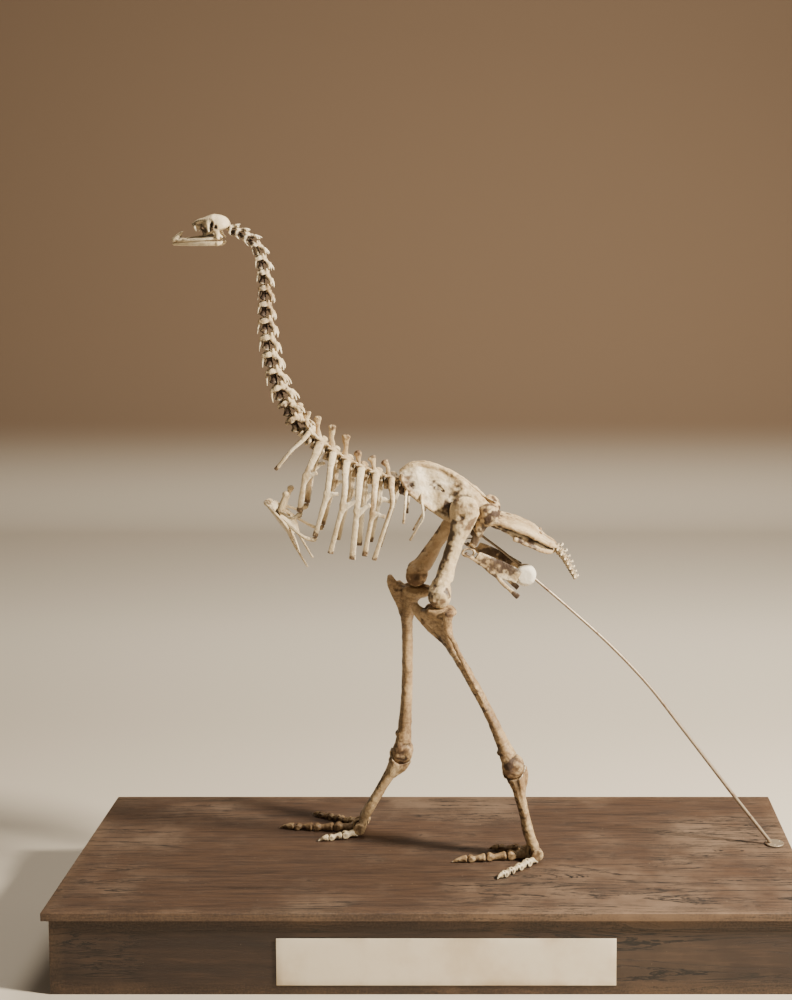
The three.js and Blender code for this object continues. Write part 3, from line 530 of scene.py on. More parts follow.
def cervical(s, index):
    wide = mix(24, 56, s.share) * vary(0.95, 1.06)
    high = mix(26, 52, s.share) * vary(0.95, 1.06)
    long = s.long

    def row(f, side, r, w, d):
        return (*s.at(f * long, side * wide, r * high), w, d)

    clay = Clay(NECK_GRAIN)
    clay.add(limb([
        row(-0.42, 0, -0.15, 0.52 * wide, 0.4 * high), row(-0.25, 0, -0.13, 0.42 * wide, 0.35 * high),
        row(0.06, 0, -0.1, 0.25 * wide, 0.27 * high), row(0.3, 0, -0.14, 0.38 * wide, 0.36 * high),
        row(0.42, 0, -0.18, 0.54 * wide, 0.42 * high)], cap=0.3))
    clay.add(limb([
        row(-0.32, 0, 0.16, 0.38 * wide, 0.26 * high), row(0.0, 0, 0.21, 0.25 * wide, 0.25 * high),
        row(0.2, 0, 0.24, 0.32 * wide, 0.22 * high)], cap=0.4), 4)
    for y in (-1, 1):
        fore, aft, up, droop = vary(-0.05, 0.05), vary(-0.05, 0.06), vary(-0.03, 0.05), vary(-0.1, 0.1)
        clay.add(limb([
            row(-0.02, y * 0.15, 0.16, 0.19 * wide, 0.22 * high),
            row(-0.3, y * 0.31, 0.17 + up, 0.2 * wide, 0.22 * high),
            row(-0.52 + fore, y * 0.36, 0.21 + up, 0.24 * wide, 0.12 * high)], cap=0.5), 3)
        clay.add(limb([
            row(0.0, y * 0.1, 0.24, 0.18 * wide, 0.2 * high),
            row(0.3, y * 0.2, 0.36, 0.17 * wide, 0.2 * high),
            row(0.58 + aft, y * 0.29, 0.37 + up, 0.24 * wide, 0.12 * high)], cap=0.5), 3)
        clay.add(limb([
            row(0.2, y * 0.2, 0.42, 0.1 * wide, 0.12 * high),
            row(0.52 + aft, y * 0.27, 0.5 + up, 0.08 * wide, 0.1 * high),
            row(0.72 + aft, y * 0.28, 0.5 + 2 * up, 0.05 * wide, 0.05 * high)]), 2)
        clay.add(limb([
            row(-0.32, y * 0.33, 0.18, 0.28 * long, 0.13 * wide),
            row(-0.27, y * 0.44, -0.06, 0.34 * long, 0.11 * wide),
            row(-0.24, y * 0.4, -0.28, 0.22 * long, 0.11 * wide)], side=s.forward), 2.5)
        clay.add(limb([
            row(-0.28, y * 0.14, -0.22, 0.2 * long, 0.1 * wide),
            row(-0.25, y * 0.38, -0.3, 0.2 * long, 0.1 * wide)], side=s.forward), 2.5)
        if index < CERVICAL_COUNT - 2:
            clay.add(limb([
                row(-0.26, y * 0.39, -0.28, 0.11 * wide, 0.16 * high),
                row(0.05, y * 0.36, -0.38, 0.08 * wide, 0.09 * high),
                row(0.42 + droop, y * 0.3, -0.45 - 0.3 * droop, 0.035 * wide, 0.04 * high)]), 2)
        clay.press(ball(s.at(0.1 * long, y * 0.25 * wide, 0.03 * high),
                        (0.34 * long, 0.24 * wide, 0.26 * high)), 2)
    clay.press(limb([row(-0.8, 0, 0.09, 0.17 * wide, 0.15 * high),
                     row(0.8, 0, 0.09, 0.17 * wide, 0.15 * high)], fine=1), 1.5)
    clay.press(ball(s.at(0.36 * long, 0, 0.38 * high), (0.5 * long, 0.2 * wide, 0.3 * high)), 2)
    if index in TALL_SPINES:
        x, _, z = s.at(0.15 * long, 0, 0.1 * high)
        rise = TALL_SPINES[index]
        clay.add(limb([(x - 2, 0, z + 8, 12, 22), (x, 0, z + 0.6 * rise, 8, 11),
                       (x, 0, z + rise - 6, 10, 15)]), 4)
        clay.press(ball((x + 1, 0, z + rise + 3), (4, 20, 7)), 2)
    else:
        tall = 0.4 if index in (1, 2, 3) else 0.3
        clay.add(limb([row(0.02, 0, 0.2, 0.12 * wide, 0.42 * long),
                       row(0.08, 0, tall - 0.06, 0.11 * wide, 0.26 * long)]), 3)
    if index % 3 == 1:
        clay.add(limb([row(-0.3, 0, -0.24, 0.1 * wide, 0.26 * long),
                       row(-0.26, 0, -0.38, 0.07 * wide, 0.14 * long)]), 3)
    return clay


neck_shares = [1 - 0.62 * math.exp(-i / 3.2) for i in range(CERVICAL_COUNT)]
neck_places = stations(spine, 0, neck_base, neck_shares)
for i, s in enumerate(neck_places):
    name = "neck_upper" if i < NECK_CUTS[0] else "neck_middle" if i < NECK_CUTS[1] else "neck_lower"
    high = mix(26, 52, s.share)
    # painted shade: the waists are painted dark, as rough-end stain and as painted shade spots, where the plates
    # shade them, with one more spot under the back end
    shaded_waists = [(s.at(0.12 * s.long, side * 0.26 * high, -0.06 * high), 0.36 * high) for side in (-1, 1)]
    keep(name, cervical(s, i), shaded_waists, tone=vary(0.1, 0.5), wave=0.4, lumps=0.35,
         painted_shade=shaded_waists + [(s.at(0.5 * s.long, 0, -0.2 * high), 0.26 * high)])
print("neck vertebrae:", len(neck_places), "longest", round(max(s.long for s in neck_places), 1), "mm")

# %% [markdown]
# The vertebrae of the back are short and stout. Each carries a tall flat spine that ends in a
# knob, and a wing on either side that its rib hangs from.

# %% Back vertebrae
DORSAL_COUNT = 7
DORSAL_SPINES = [(3, 54), (0, 67), (3, 70), (2, 68), (-6, 50), (-8, 52), (-14, 53)]
BACK_GRAIN = 1.1


def dorsal(s, lean, rise):
    x, _, z = s.at(0, 0, 0)
    long = s.long
    clay = Clay(BACK_GRAIN)
    clay.add(limb([(*s.at(-0.4 * long, 0, -1), 26, 22), (*s.at(0, 0, 0), 17, 18),
                   (*s.at(0.4 * long, 0, -1), 27, 23)], cap=0.25))
    clay.add(limb([(*s.at(-0.34 * long, 0, 13), 17, 14), (*s.at(0.32 * long, 0, 13), 16, 15)],
                  fine=1, cap=0.4), 4)
    clay.add(limb([
        (x, 0, z + 14, 10, 24), (x + 0.3 * lean, 0, z + 0.38 * rise, 6, 15),
        (x + 0.6 * lean, 0, z + 0.62 * rise, 5.5, 10.5 * vary(0.9, 1.15)),
        (x + 0.85 * lean + vary(-1.5, 1.5), 0, z + 0.8 * rise, 7, 13 * vary(0.9, 1.1)),
        (x + lean, 0, z + rise - 6, 10, 16 * vary(0.9, 1.15))]), 4)
    clay.press(ball((x + lean + vary(-2, 2), 0, z + rise + 3.5), (4, 22, 7)), 2)
    for f in (-1, 1):
        clay.press(ball((x + 0.5 * lean + 7 * f, vary(-2, 2), z + vary(0.4, 0.62) * rise),
                        (5, 12, vary(8, 14))), 3)
        clay.press(ball((x + lean + vary(-4, 4), 5.5 * f, z + rise - vary(4, 9)), (5, 3, 6)), 2)
    clay.press(ball((x + lean, 0, z + rise + 3), (26, 3.2, 6)), 2)
    for y in (-1, 1):
        clay.add(limb([(*s.at(-1, y * 5, 14), 19, 9), (*s.at(-1, y * 20, 17), 13, 6),
                       (*s.at(-2, y * 31, 19), 14, 8)], side=s.forward), 3)
        clay.add(limb([(*s.at(0, y * 9, 1), 7, 4), (*s.at(-1, y * 22, 14), 6, 3)],
                      side=s.forward), 3)
        for f in (-1, 1):
            clay.add(limb([(*s.at(f * 0.2 * long, y * 6, 16), 7, 9),
                           (*s.at(f * 0.5 * long, y * 9, 17 + 2 * f), 8, 4)]), 3)
        clay.press(ball(s.at(2, y * 12, 3), (12, 8, 10)), 2)
        clay.press(ball(s.at(0.5 * long, y * 11, 8), (9, 14, 8)), 2)
    clay.press(limb([(*s.at(-long, 0, 10.5), 7, 7), (*s.at(long, 0, 10.5), 7, 7)], fine=1), 1.5)
    return clay, (x + lean, 0, z + rise)


back_places = stations(spine, neck_base, pelvis_start, [1] * DORSAL_COUNT)
for s, (lean, rise) in zip(back_places, DORSAL_SPINES):
    clay, crown = dorsal(s, lean, rise)
    rough_ends = [(s.at(side * 0.5 * s.long, 0, 0), 9) for side in (-1, 1)]
    # painted shade: spots on the sides of each body and between bodies, where the ribs and wings shade them
    sides = [(s.at(0, side * 12, rise_up), 11) for side in (-1, 1) for rise_up in (-4, 6)]
    keep("chest", clay, rough_ends + [(crown, 12)], wave=0.5, lumps=0.5,
         painted_shade=sides + [(s.at(0.5 * s.long, 0, 8), 9)])
print("back vertebrae:", len(back_places))

# %% [markdown]
# A rib has two roots: a head at the side of its vertebra and a knob under the wing. Below them
# it is a flat strap that curves round the chest. Some carry a small hook that lay over the next
# rib behind.

# %% Ribs
RIBS = [
    {"mid": (-290, 840), "tip": (-324, 799), "flare": 50, "breadth": 9, "hook": None},
    {"mid": (-262, 785), "tip": (-275, 715), "flare": 66, "breadth": 15, "hook": (22, 7)},
    {"mid": (-217, 755), "tip": (-243, 667), "flare": 76, "breadth": 13, "hook": (22, 1)},
    {"mid": (-182, 745), "tip": (-212, 633), "flare": 82, "breadth": 13, "hook": (33, 12)},
    {"mid": (-155, 735), "tip": (-168, 621), "flare": 84, "breadth": 14, "hook": (26, 14)},
    {"mid": (-124, 725), "tip": (-143, 628), "flare": 84, "breadth": 13, "hook": (24, -6)},
    {"mid": (-86, 735), "tip": (-124, 619), "flare": 80, "breadth": 11, "hook": None},
]
RIB_THICKNESS = 5
RIB_GRAIN = 1.0
RIB_SHARES = [1.15, 1.0, 0.9, 0.84, 0.8, 0.84, 0.95]


def rib_path(root, shape, side):
    """The rib's centre line below its roots, as rows of x, y, z."""
    (mx, mz), (tx, tz), flare = shape["mid"], shape["tip"], shape["flare"]
    rx, rz = root
    corners = np.array([
        (rx, side * 33, rz + 4), (mix(rx, mx, 0.4), side * 0.86 * flare, mix(rz, mz, 0.42)),
        (mx, side * flare, mz), (mix(mx, tx, 0.5), side * 0.97 * flare, mix(mz, tz, 0.5)),
        (tx, side * 0.84 * flare, tz)], dtype=np.float32)
    fine = smooth_rows(corners, 12)
    steps = np.concatenate([[0], np.cumsum(np.linalg.norm(np.diff(fine, axis=0), axis=1))])
    where = np.linspace(0, steps[-1], len(RIB_SHARES))
    return np.stack([np.interp(where, steps, fine[:, i]) for i in range(3)], axis=1)


def rib(root, shape, side, thickness, rooted=True):
    path = rib_path(root, shape, side)
    breadth = shape["breadth"]
    rows = [(*place, breadth * share * vary(0.9, 1.1), thickness * mix(1.35, 0.8, math.sqrt(i / 6)))
            for i, (place, share) in enumerate(zip(path, RIB_SHARES))]
    rows[-1] = (*rows[-1][:3], rows[-1][3], thickness * 0.95)
    clay = Clay(RIB_GRAIN)
    clay.add(limb(rows, side=(1, 0, 0), cap=0.5))
    if rooted:
        rx, rz = root
        clay.add(limb([(rx - 3, side * 15, rz - 9, 9, 8), (rx - 2, side * 24, rz - 3, 8, 6),
                       (*path[0], breadth, 7), (*path[1], breadth, 6)], side=(1, 0, 0)), 3)
        clay.add(limb([(rx, side * 30, rz + 3, 9, 8), (*path[0], breadth, 8)],
                      side=(1, 0, 0), fine=1), 3)
    if shape.get("hook"):
        hx, hz = shape["hook"]
        fx, fy, fz = path[3]
        clay.add(limb([(fx - 2, fy, fz - 4, 3.6, 20), (fx + 0.35 * hx, fy + side, fz + 0.2 * hz, 3.4, 12),
                       (fx + 0.7 * hx, fy + side * 1.5, fz + 0.7 * hz, 3.2, 8),
                       (fx + hx, fy + side * 1.5, fz + hz, 4.2, 9)]), 3)
    groove = [(*(place + np.array([0.16 * breadth, -side * 0.5 * thickness, 0])), 2.4, 2.4)
              for place in path[1:5]]
    clay.press(limb(groove), 2)
    return clay, path


rib_ends = {}
for name, side in SIDES.items():
    for i, shape in enumerate(RIBS):
        x, _, z = back_places[i].at(0, 0, 12)
        clay, path = rib((x, z), shape, side, RIB_THICKNESS)
        # painted shade spot under the rib's root, beneath the wing
        keep("chest", clay, [(path[-1], 12), ((x, side * 26, z), 12)], tone=vary(0.1, 0.5),
             wave=0.42, lumps=0.5, painted_shade=[((x, side * 22, z - 8), 9)])
        rib_ends[name, i] = (path[-1], (path[-1] - path[-2]) / np.linalg.norm(path[-1] - path[-2]))
print("ribs:", len(rib_ends))

# %% [markdown]
# The breastbone of a moa is a small dished shield with no keel, because the bird had no wings to
# move. Thin rods run back from it, two corners rise in front, and short straps tie it to the
# longest front ribs. A plate like this is an outline in one plane and a formula for its place
# across that plane.

# %% Breastbone
STERNUM_NOSE = (-349, 722)
STERNUM_HEEL = (-296, 650)
STERNUM_WIDTH = 104
STERNUM_THICKNESS = 5
STERNUM_DISH = 16


def shield_half(t):
    return STERNUM_WIDTH / 2 * math.sqrt(mix(0.22, 1, math.sin(math.pi * mix(0.12, 0.8, t)) ** 2))


def sternum():
    (nx, nz), (hx, hz) = STERNUM_NOSE, STERNUM_HEEL
    lean = (hx - nx) / (hz - nz)
    edge = [(shield_half(t), mix(nz, hz, t) + 6) for t in np.linspace(0, 1, 9)]
    outline = edge + [(-y, z) for y, z in reversed(edge)]

    def place(y, z):
        return nx + (z - nz) * lean + STERNUM_DISH * 1.2 * (y / (STERNUM_WIDTH / 2)) ** 2

    clay = Clay(1.2)
    clay.add(blade(outline, place, STERNUM_THICKNESS * 0.8, axes=(1, 2, 0), reach=(-360, -270),
                   slope=0.8))
    rim = [(place(y, z), y, z, 7, 6) for y, z in edge[1:]]
    clay.add(limb(rim), 3).add(limb([(x, -y, z, w, d) for x, y, z, w, d in rim]), 3)
    clay.add(limb([(nx + 3, -24, nz + 3, 8, 9), (nx, 0, nz + 1, 8, 10), (nx + 3, 24, nz + 3, 8, 9)],
                  side=(0, 0, 1)), 3)
    clay.add(limb([(hx - 3, 0, hz + 14, 13, 5), (hx + 8, 0, hz - 14, 7, 4), (-283, 0, 616, 5, 4)]), 4)
    for y in (-1, 1):
        clay.add(limb([(-306, y * 43, 690, 15, 6), (-290, y * 46, 650, 7, 5),
                       (-262, y * 44, 601, 5, 4)]), 4)
        clay.add(limb([(-322, y * 34, 706, 13, 12), (-309, y * 38, 738, 8, 9),
                       (-305, y * 38, 744, 8, 9)]), 4)
        clay.add(ball((-305, y * 38, 748), (14, 11, 12)), 3)
        clay.press(ball((-336, y * 15, 724), (9, 15, 8)), 2)
        clay.press(ball((-302, y * 14, 664), (14, 10, 15)), 3)
        for k in range(3):
            clay.press(ball((-322 + 9 * k, y * (42 + k), 704 - 11 * k), (7, 8, 5)), 1.5)
    return clay


keep("sternum", sternum(), [((-349, 0, 724), 16)], tone=0.3, wave=0.45)

# %% The straps between breastbone and ribs
STERNAL_RIBS = [(1, (-324, 34, 714), (-292, 52, 701), 12), (2, (-320, 42, 700), (-266, 62, 664), 10)]
for name, side in SIDES.items():
    for i, (x, y, z), (bx, by, bz), breadth in STERNAL_RIBS:
        end, heading = rib_ends[name, i]
        lead, tip = end + 9 * heading, end + 3.2 * heading
        clay = Clay(RIB_GRAIN)
        clay.add(limb([(x, side * y, z, 9, 8), (mix(x, bx, 0.5), side * mix(y, by, 0.5), mix(z, bz, 0.5), 6, 5.5),
                       (bx, side * by, bz, 7, 6), (*lead, breadth, 5.5),
                       (*tip, breadth, 6)], side=(1, 0, 0), cap=0.4))
        keep("sternum", clay, [(tip, 8)], tone=0.1)
print("breastbone straps:", 2 * len(STERNAL_RIBS))

# %% [markdown]
# The pelvis has a steep roof in front of the hips, made of two thin plates that meet in a ridge,
# and a broad low shield behind them. It is made from cross-sections: at each place along the
# bird they say how high the roof is and how far out its side stands, and a thin plate follows
# that surface. The hollow underneath stays open, as it is on the bone.

# %% The shape of the pelvis, section by section
# Each row: place along the bird, top, bottom, then half widths at the ridge, the side, the edge
PELVIS_FRONT = np.array([
    (-76, 791, 776, 8, 26, 28), (-55, 808, 750, 9, 34, 40), (-25, 811, 724, 9, 29, 36),
    (8, 799, 702, 10, 27, 34), (50, 778, 690, 14, 37, 42), (92, 741, 688, 24, 53, 52),
    (122, 720, 690, 34, 63, 58)], dtype=np.float32)
PELVIS_REAR = np.array([
    (100, 707, 692, 30, 48, 46), (126, 696, 680, 42, 64, 62), (160, 689, 658, 45, 68, 67),
    (197, 674, 638, 38, 58, 56), (224, 653, 625, 24, 39, 35), (243, 641, 623, 12, 18, 14)],
    dtype=np.float32)
PELVIS_FRONT, PELVIS_REAR = smooth_rows(PELVIS_FRONT, 6), smooth_rows(PELVIS_REAR, 6)
WAIST = 0.42
REAR_RIM = 0.75
SLIT = [(-14, 772, 4), (-6, 768, 8), (3, 762, 10), (14, 752, 5)]
REAR_WALL_DEPTH = 13
HIP = {"x": 57, "y": 47, "z": 714, "ball": 17}
ROD_LINE = Line([(34, 706), (86, 660), (138, 620), (206, 561), (276, 500), (357, 426), (437, 341),
                 (510, 247), (620, 102), (704, -6)])


def section(table, x, column):
    return np.interp(x, table[:, 0], table[:, column]).astype(np.float32)


def side_of(table, x, z):
    """How far out the pelvis's side stands at a place along it and a height."""
    top, low = section(table, x, 1), section(table, x, 2)
    t = np.clip((z - low) / np.maximum(top - low, 1), 0, 1.1)
    edge, waist, ridge = section(table, x, 5), section(table, x, 4), section(table, x, 3)
    return (edge * (t - WAIST) * (t - 1) / WAIST + waist * t * (t - 1) / (WAIST * (WAIST - 1))
            + ridge * t * (t - WAIST) / (1 - WAIST))


def roof_of(x, y):
    """How high the rear shield is at a place along it and across it."""
    top, low = section(PELVIS_REAR, x, 1), section(PELVIS_REAR, x, 2)
    ridge, wide = section(PELVIS_REAR, x, 3), section(PELVIS_REAR, x, 4)
    fall = np.clip((np.abs(y) - ridge) / np.maximum(wide - ridge, 1), 0, 1.2)
    return top - 3 * np.minimum(np.abs(y) / ridge, 1) - fall * (top - low) * 0.2


def front_plate(side):
    rows = PELVIS_FRONT
    outline = [(x, top - 2) for x, top in rows[::3, :2]] + [(r[0], r[2]) for r in rows[::-3]]

    def place(x, z):
        wrinkle = 1.3 * np.sin(x * 0.16 + z * 0.05) + 0.9 * np.sin(x * 0.05 - z * 0.19)
        return side * (side_of(rows, x, z) - 2.5 + wrinkle)

    def thickness(x, z):
        top, low = section(rows, x, 1), section(rows, x, 2)
        rim = np.clip(1 - np.minimum(top - z, z - low) / 12, 0, 1)
        return 3.6 + 3.2 * rim + np.clip((x - 30) / 12, 0, 6)

    return blade(outline, place, thickness, reach=sorted((side * 5, side * 66)), slope=0.86)


def rear_wall(side):
    rows = PELVIS_REAR
    outline = ([(r[0], mix(r[2], r[1], REAR_RIM)) for r in rows[::3]]
               + [(r[0], r[2]) for r in rows[::-3]])

    def place(x, z):
        return side * np.maximum(side_of(rows, x, z) - REAR_WALL_DEPTH, 5)

    return blade(outline, place, 3.6, reach=sorted((side * 4, side * 74)), slope=0.95)


def pelvis_side(side):
    """One hip bone: both plates, the ring of the hip joint and the two bones behind it."""
    hip = (HIP["x"], side * HIP["y"], HIP["z"])
    clay = Clay(1.4)
    clay.add(front_plate(side))
    rim, foot = [], []
    for x, top, low, _, wide, edge in PELVIS_REAR[::3]:
        rim.append((x, side * (wide - 2.5), mix(low, top, REAR_RIM), 9, 9 + 2.5 * math.sin(0.33 * x)))
        if x > 146:
            foot.append((x, side * max(edge - 9, 5), low + 2, 7, 8 + 2 * math.sin(0.27 * x + 2)))
    clay.add(rear_wall(side), 3).add(limb(rim, fine=2), 4).add(limb(foot, fine=2), 3)
    outline = [(x, 2 * side) for x in PELVIS_REAR[::3, 0]]
    outline += [(r[0], side * (r[4] - 3)) for r in PELVIS_REAR[::-3]]
    clay.add(blade(outline, roof_of, 4.5, axes=(0, 1, 2), reach=(610, 720), slope=0.9), 4)
    clay.add(drum(hip, (0, 1, 0), 30, 9, 5), 7)
    clay.add(ball((108, side * 52, 708), (44, 36, 46)), 6)
    clay.add(limb([(-70, side * 27, 785, 7, 8), (-66, side * 36, 768, 7, 9), (-52, side * 38, 750, 7, 8),
                   (-25, side * 35, 727, 6, 8), (5, side * 33, 705, 7, 9), (34, side * 38, 694, 9, 12)]), 3)
    clay.add(limb([(-72, side * 10, 788, 8, 8), (-49, side * 10, 804, 7, 7), (0, side * 9, 799, 8, 7),
                   (38, side * 12, 781, 8, 7), (76, side * 18, 753, 9, 8), (96, side * 26, 733, 9, 8)]), 4)
    clay.add(limb([(97, side * 54, 700, 12, 25), (84, side * 55, 666, 8, 17),
                   (74, side * 53, 646, 9, 16)]), 6)
    ring = [(66 + 12 * math.cos(a), side * (53 - 2 * math.cos(a)), 631 + 8 * math.sin(a), 5, 5)
            for a in np.linspace(0, 2 * math.pi, 9)]
    clay.add(limb(ring), 2.5)
    clay.add(limb([(84, side * 52, 624, 6, 17), (104, side * 49, 611, 5, 28), (126, side * 46, 596, 4.4, 36),
                   (150, side * 43, 586, 4, 33), (168, side * 40, 577, 4.6, 29)], cap=0.4), 4)
    clay.add(limb([(60, side * 53, 628, 8, 9), (84, side * 50, 612, 5.4, 8), (117, side * 46, 584, 5, 7),
                   (147, side * 42, 554, 4.5, 9), (167, side * 40, 536, 5, 12)], cap=0.5), 2)
    for x, z, size in ((173, 566, 9), (164, 560, 7), (177, 580, 6), (150, 568, 5)):
        clay.press(ball((x, side * 40, z), (size, 24, size * 0.8)), 1.5)
    clay.press(limb([(x, side * (float(side_of(PELVIS_FRONT, x, z)) + 3.5), z, 11, deep)
                     for x, z, deep in SLIT]), 2)
    for x, z, wide, tall in ((-40, 768, 26, 18), (30, 730, 26, 15), (60, 744, 18, 8), (-14, 738, 16, 9),
                             (24, 770, 20, 6), (44, 758, 12, 6), (-28, 790, 18, 6)):
        out = float(side_of(PELVIS_FRONT, np.float32(x), np.float32(z)))
        clay.press(ball((x, side * (out + 3), z), (wide, 5, tall)), 5)
    clay.press(ball(hip, (36.4, 36.4, 36.4)), 1.5)
    clay.press(drum((HIP["x"], side * 72, HIP["z"]), (0, 1, 0), 21.4, 24, 2), 2)
    return clay


def sacrum():
    """The fused vertebrae under the roof, with a strut on each side of every one. The iron rod
    ends in a hole in their underside."""
    clay = Clay(1.6)
    rows, struts = [], []
    count = 11
    sizes = [(30, 30), (34, 34), (34, 30), (19, 17)]
    for i in range(2 * count + 1):
        t = i / (2 * count)
        x, z = spine.place(mix(pelvis_start, tail_start, mix(0.012, 0.985, t)))
        k = min(int(t * 3), 2)
        wide, deep = [mix(sizes[k][j], sizes[k + 1][j], t * 3 - k) for j in (0, 1)]
        pinch = 0.78 if i % 2 else 1.0
        rows.append((x, 0, z, wide * pinch, deep * (pinch + 1) / 2))
        if i % 2 == 0 and 0 < i < 2 * count:
            struts.append((x, z, wide))
    clay.add(limb(rows, fine=2, cap=0.3))
    for x, z, wide in struts:
        table = PELVIS_FRONT if x < 110 else PELVIS_REAR
        for side in (-1, 1):
            far = float(side_of(table, np.float32(x), np.float32(z + 14))) - 6
            clay.add(limb([(x, side * wide * 0.3, z + 4, 9, 6), (x, side * far * 0.75, z + 9, 6, 4),
                           (x, side * far, z + 14, 7, 6)], side=(1, 0, 0)), 3)
    (ax, az), (bx, bz) = ROD_LINE.points[0], ROD_LINE.place(0.06)
    clay.press(limb([(ax, 0, az, 7, 7), (bx, 0, bz, 7, 7)], fine=1), 1)
    return clay


# %% The pelvis and its last ribs
LAST_RIBS = [
    ((-30, 742), {"mid": (-24, 706), "tip": (-52, 656), "flare": 62, "breadth": 5.5}),
    ((-60, 752), {"mid": (-61, 727), "tip": (-65, 692), "flare": 68, "breadth": 6}),
]
for side in (-1, 1):
    rough_ends = [((106, side * 60, 716), 34), ((57, side * 47, 740), 20), ((140, side * 46, 602), 18),
                  ((168, side * 40, 536), 9), ((-60, side * 34, 770), 22), ((20, side * 34, 716), 22),
                  ((185, side * 58, 655), 20), ((150, side * 66, 672), 18)]
    # painted shade: these spots are painted dark where shade falls, under the hip shelf, on the strut and ring
    # below the hip, along the ischium and in the slits
    shaded_spots = [((92, side * 54, 684), 24), ((78, side * 55, 656), 22), ((112, side * 62, 710), 22),
             ((66, side * 53, 631), 16), ((136, side * 60, 672), 17), ((170, side * 52, 657), 14),
             ((196, side * 46, 647), 14), ((98, side * 49, 612), 15),
             ((116, side * 47, 606), 18), ((134, side * 45, 602), 20), ((152, side * 43, 596), 17),
             ((120, side * 46, 582), 9), ((143, side * 42, 558), 8), ((160, side * 41, 542), 11),
             ((30, side * 40, 722), 20), ((40, side * 36, 756), 17), ((60, side * 44, 740), 18)]
    shaded_spots += [((x, side * float(side_of(PELVIS_FRONT, x, z)), z), 0.9 * deep) for x, z, deep in SLIT]
    keep("pelvis", pelvis_side(side), rough_ends, tone=0.5, wave=0.75, lumps=1.2, painted_shade=shaded_spots)
    for root, shape in LAST_RIBS:
        clay, path = rib(root, shape, side, 4.5)
        keep("pelvis", clay, [(path[-1], 9)])
# painted shade: spots along the sacrum's underside, under the pelvis roof
underside = [((x, 0, z - 10), 34) for x, z in [spine.place(t) for t in np.linspace(
    mix(pelvis_start, tail_start, 0.02), mix(pelvis_start, tail_start, 0.75), 8)]]
keep("pelvis", sacrum(), tone=0.9, wave=0.6, lumps=0.8, painted_shade=underside)
print("pelvis pieces:", len(store["pelvis"]))

# %% [markdown]
# The tail is a row of small vertebrae with short side arms, smaller and smaller to the last one.

# %% Tail
tail_places = stations(spine, tail_start, 1, [1.15, 1.1, 1.05, 1, 0.95, 0.9, 0.85])
for i, s in enumerate(tail_places):
    wide = mix(29, 14.5, s.share) * vary(0.95, 1.05)
    clay = Clay(0.9)
    clay.add(limb([(*s.at(-0.34 * s.long, 0, 0), 0.72 * wide, 0.74 * wide),
                   (*s.at(0.02 * s.long, 0, 0), 0.5 * wide, 0.56 * wide),
                   (*s.at(0.34 * s.long, 0, 0), 0.66 * wide, 0.66 * wide)], cap=0.25))
    for side in (-1, 1):
        clay.add(limb([(*s.at(-1, 0, 1), 6, 0.4 * wide), (*s.at(-0.5, side * 0.6 * wide, -1), 4.4, 3.2)],
                      side=s.forward, fine=1), 2.5)
        clay.add(limb([(*s.at(0, side * 0.16 * wide, 0.3 * wide), 3, 5),
                       (*s.at(0.5, side * 0.14 * wide, 0.5 * wide), 3, 4.5)], fine=1), 2)
    # painted shade spot under each tail bone
    keep("tail", clay, [(s.at(0.5 * s.long, 0, 0), 6)], tone=vary(0.2, 0.5), wave=0.45,
         painted_shade=[(s.at(0.5 * s.long, 0, -2), 5.5)])
print("tail bones:", len(tail_places))

# %% [markdown]
# The head is small for such a bird. The braincase is a rounded box with big eye sockets in
# front of it, the bill is a broad flat wedge, and thin bars join the two low down. The bone
# that once bridged bill and forehead is broken away, which leaves a gap behind the bill.

# %% Skull
SKULL_GRAIN = 0.8


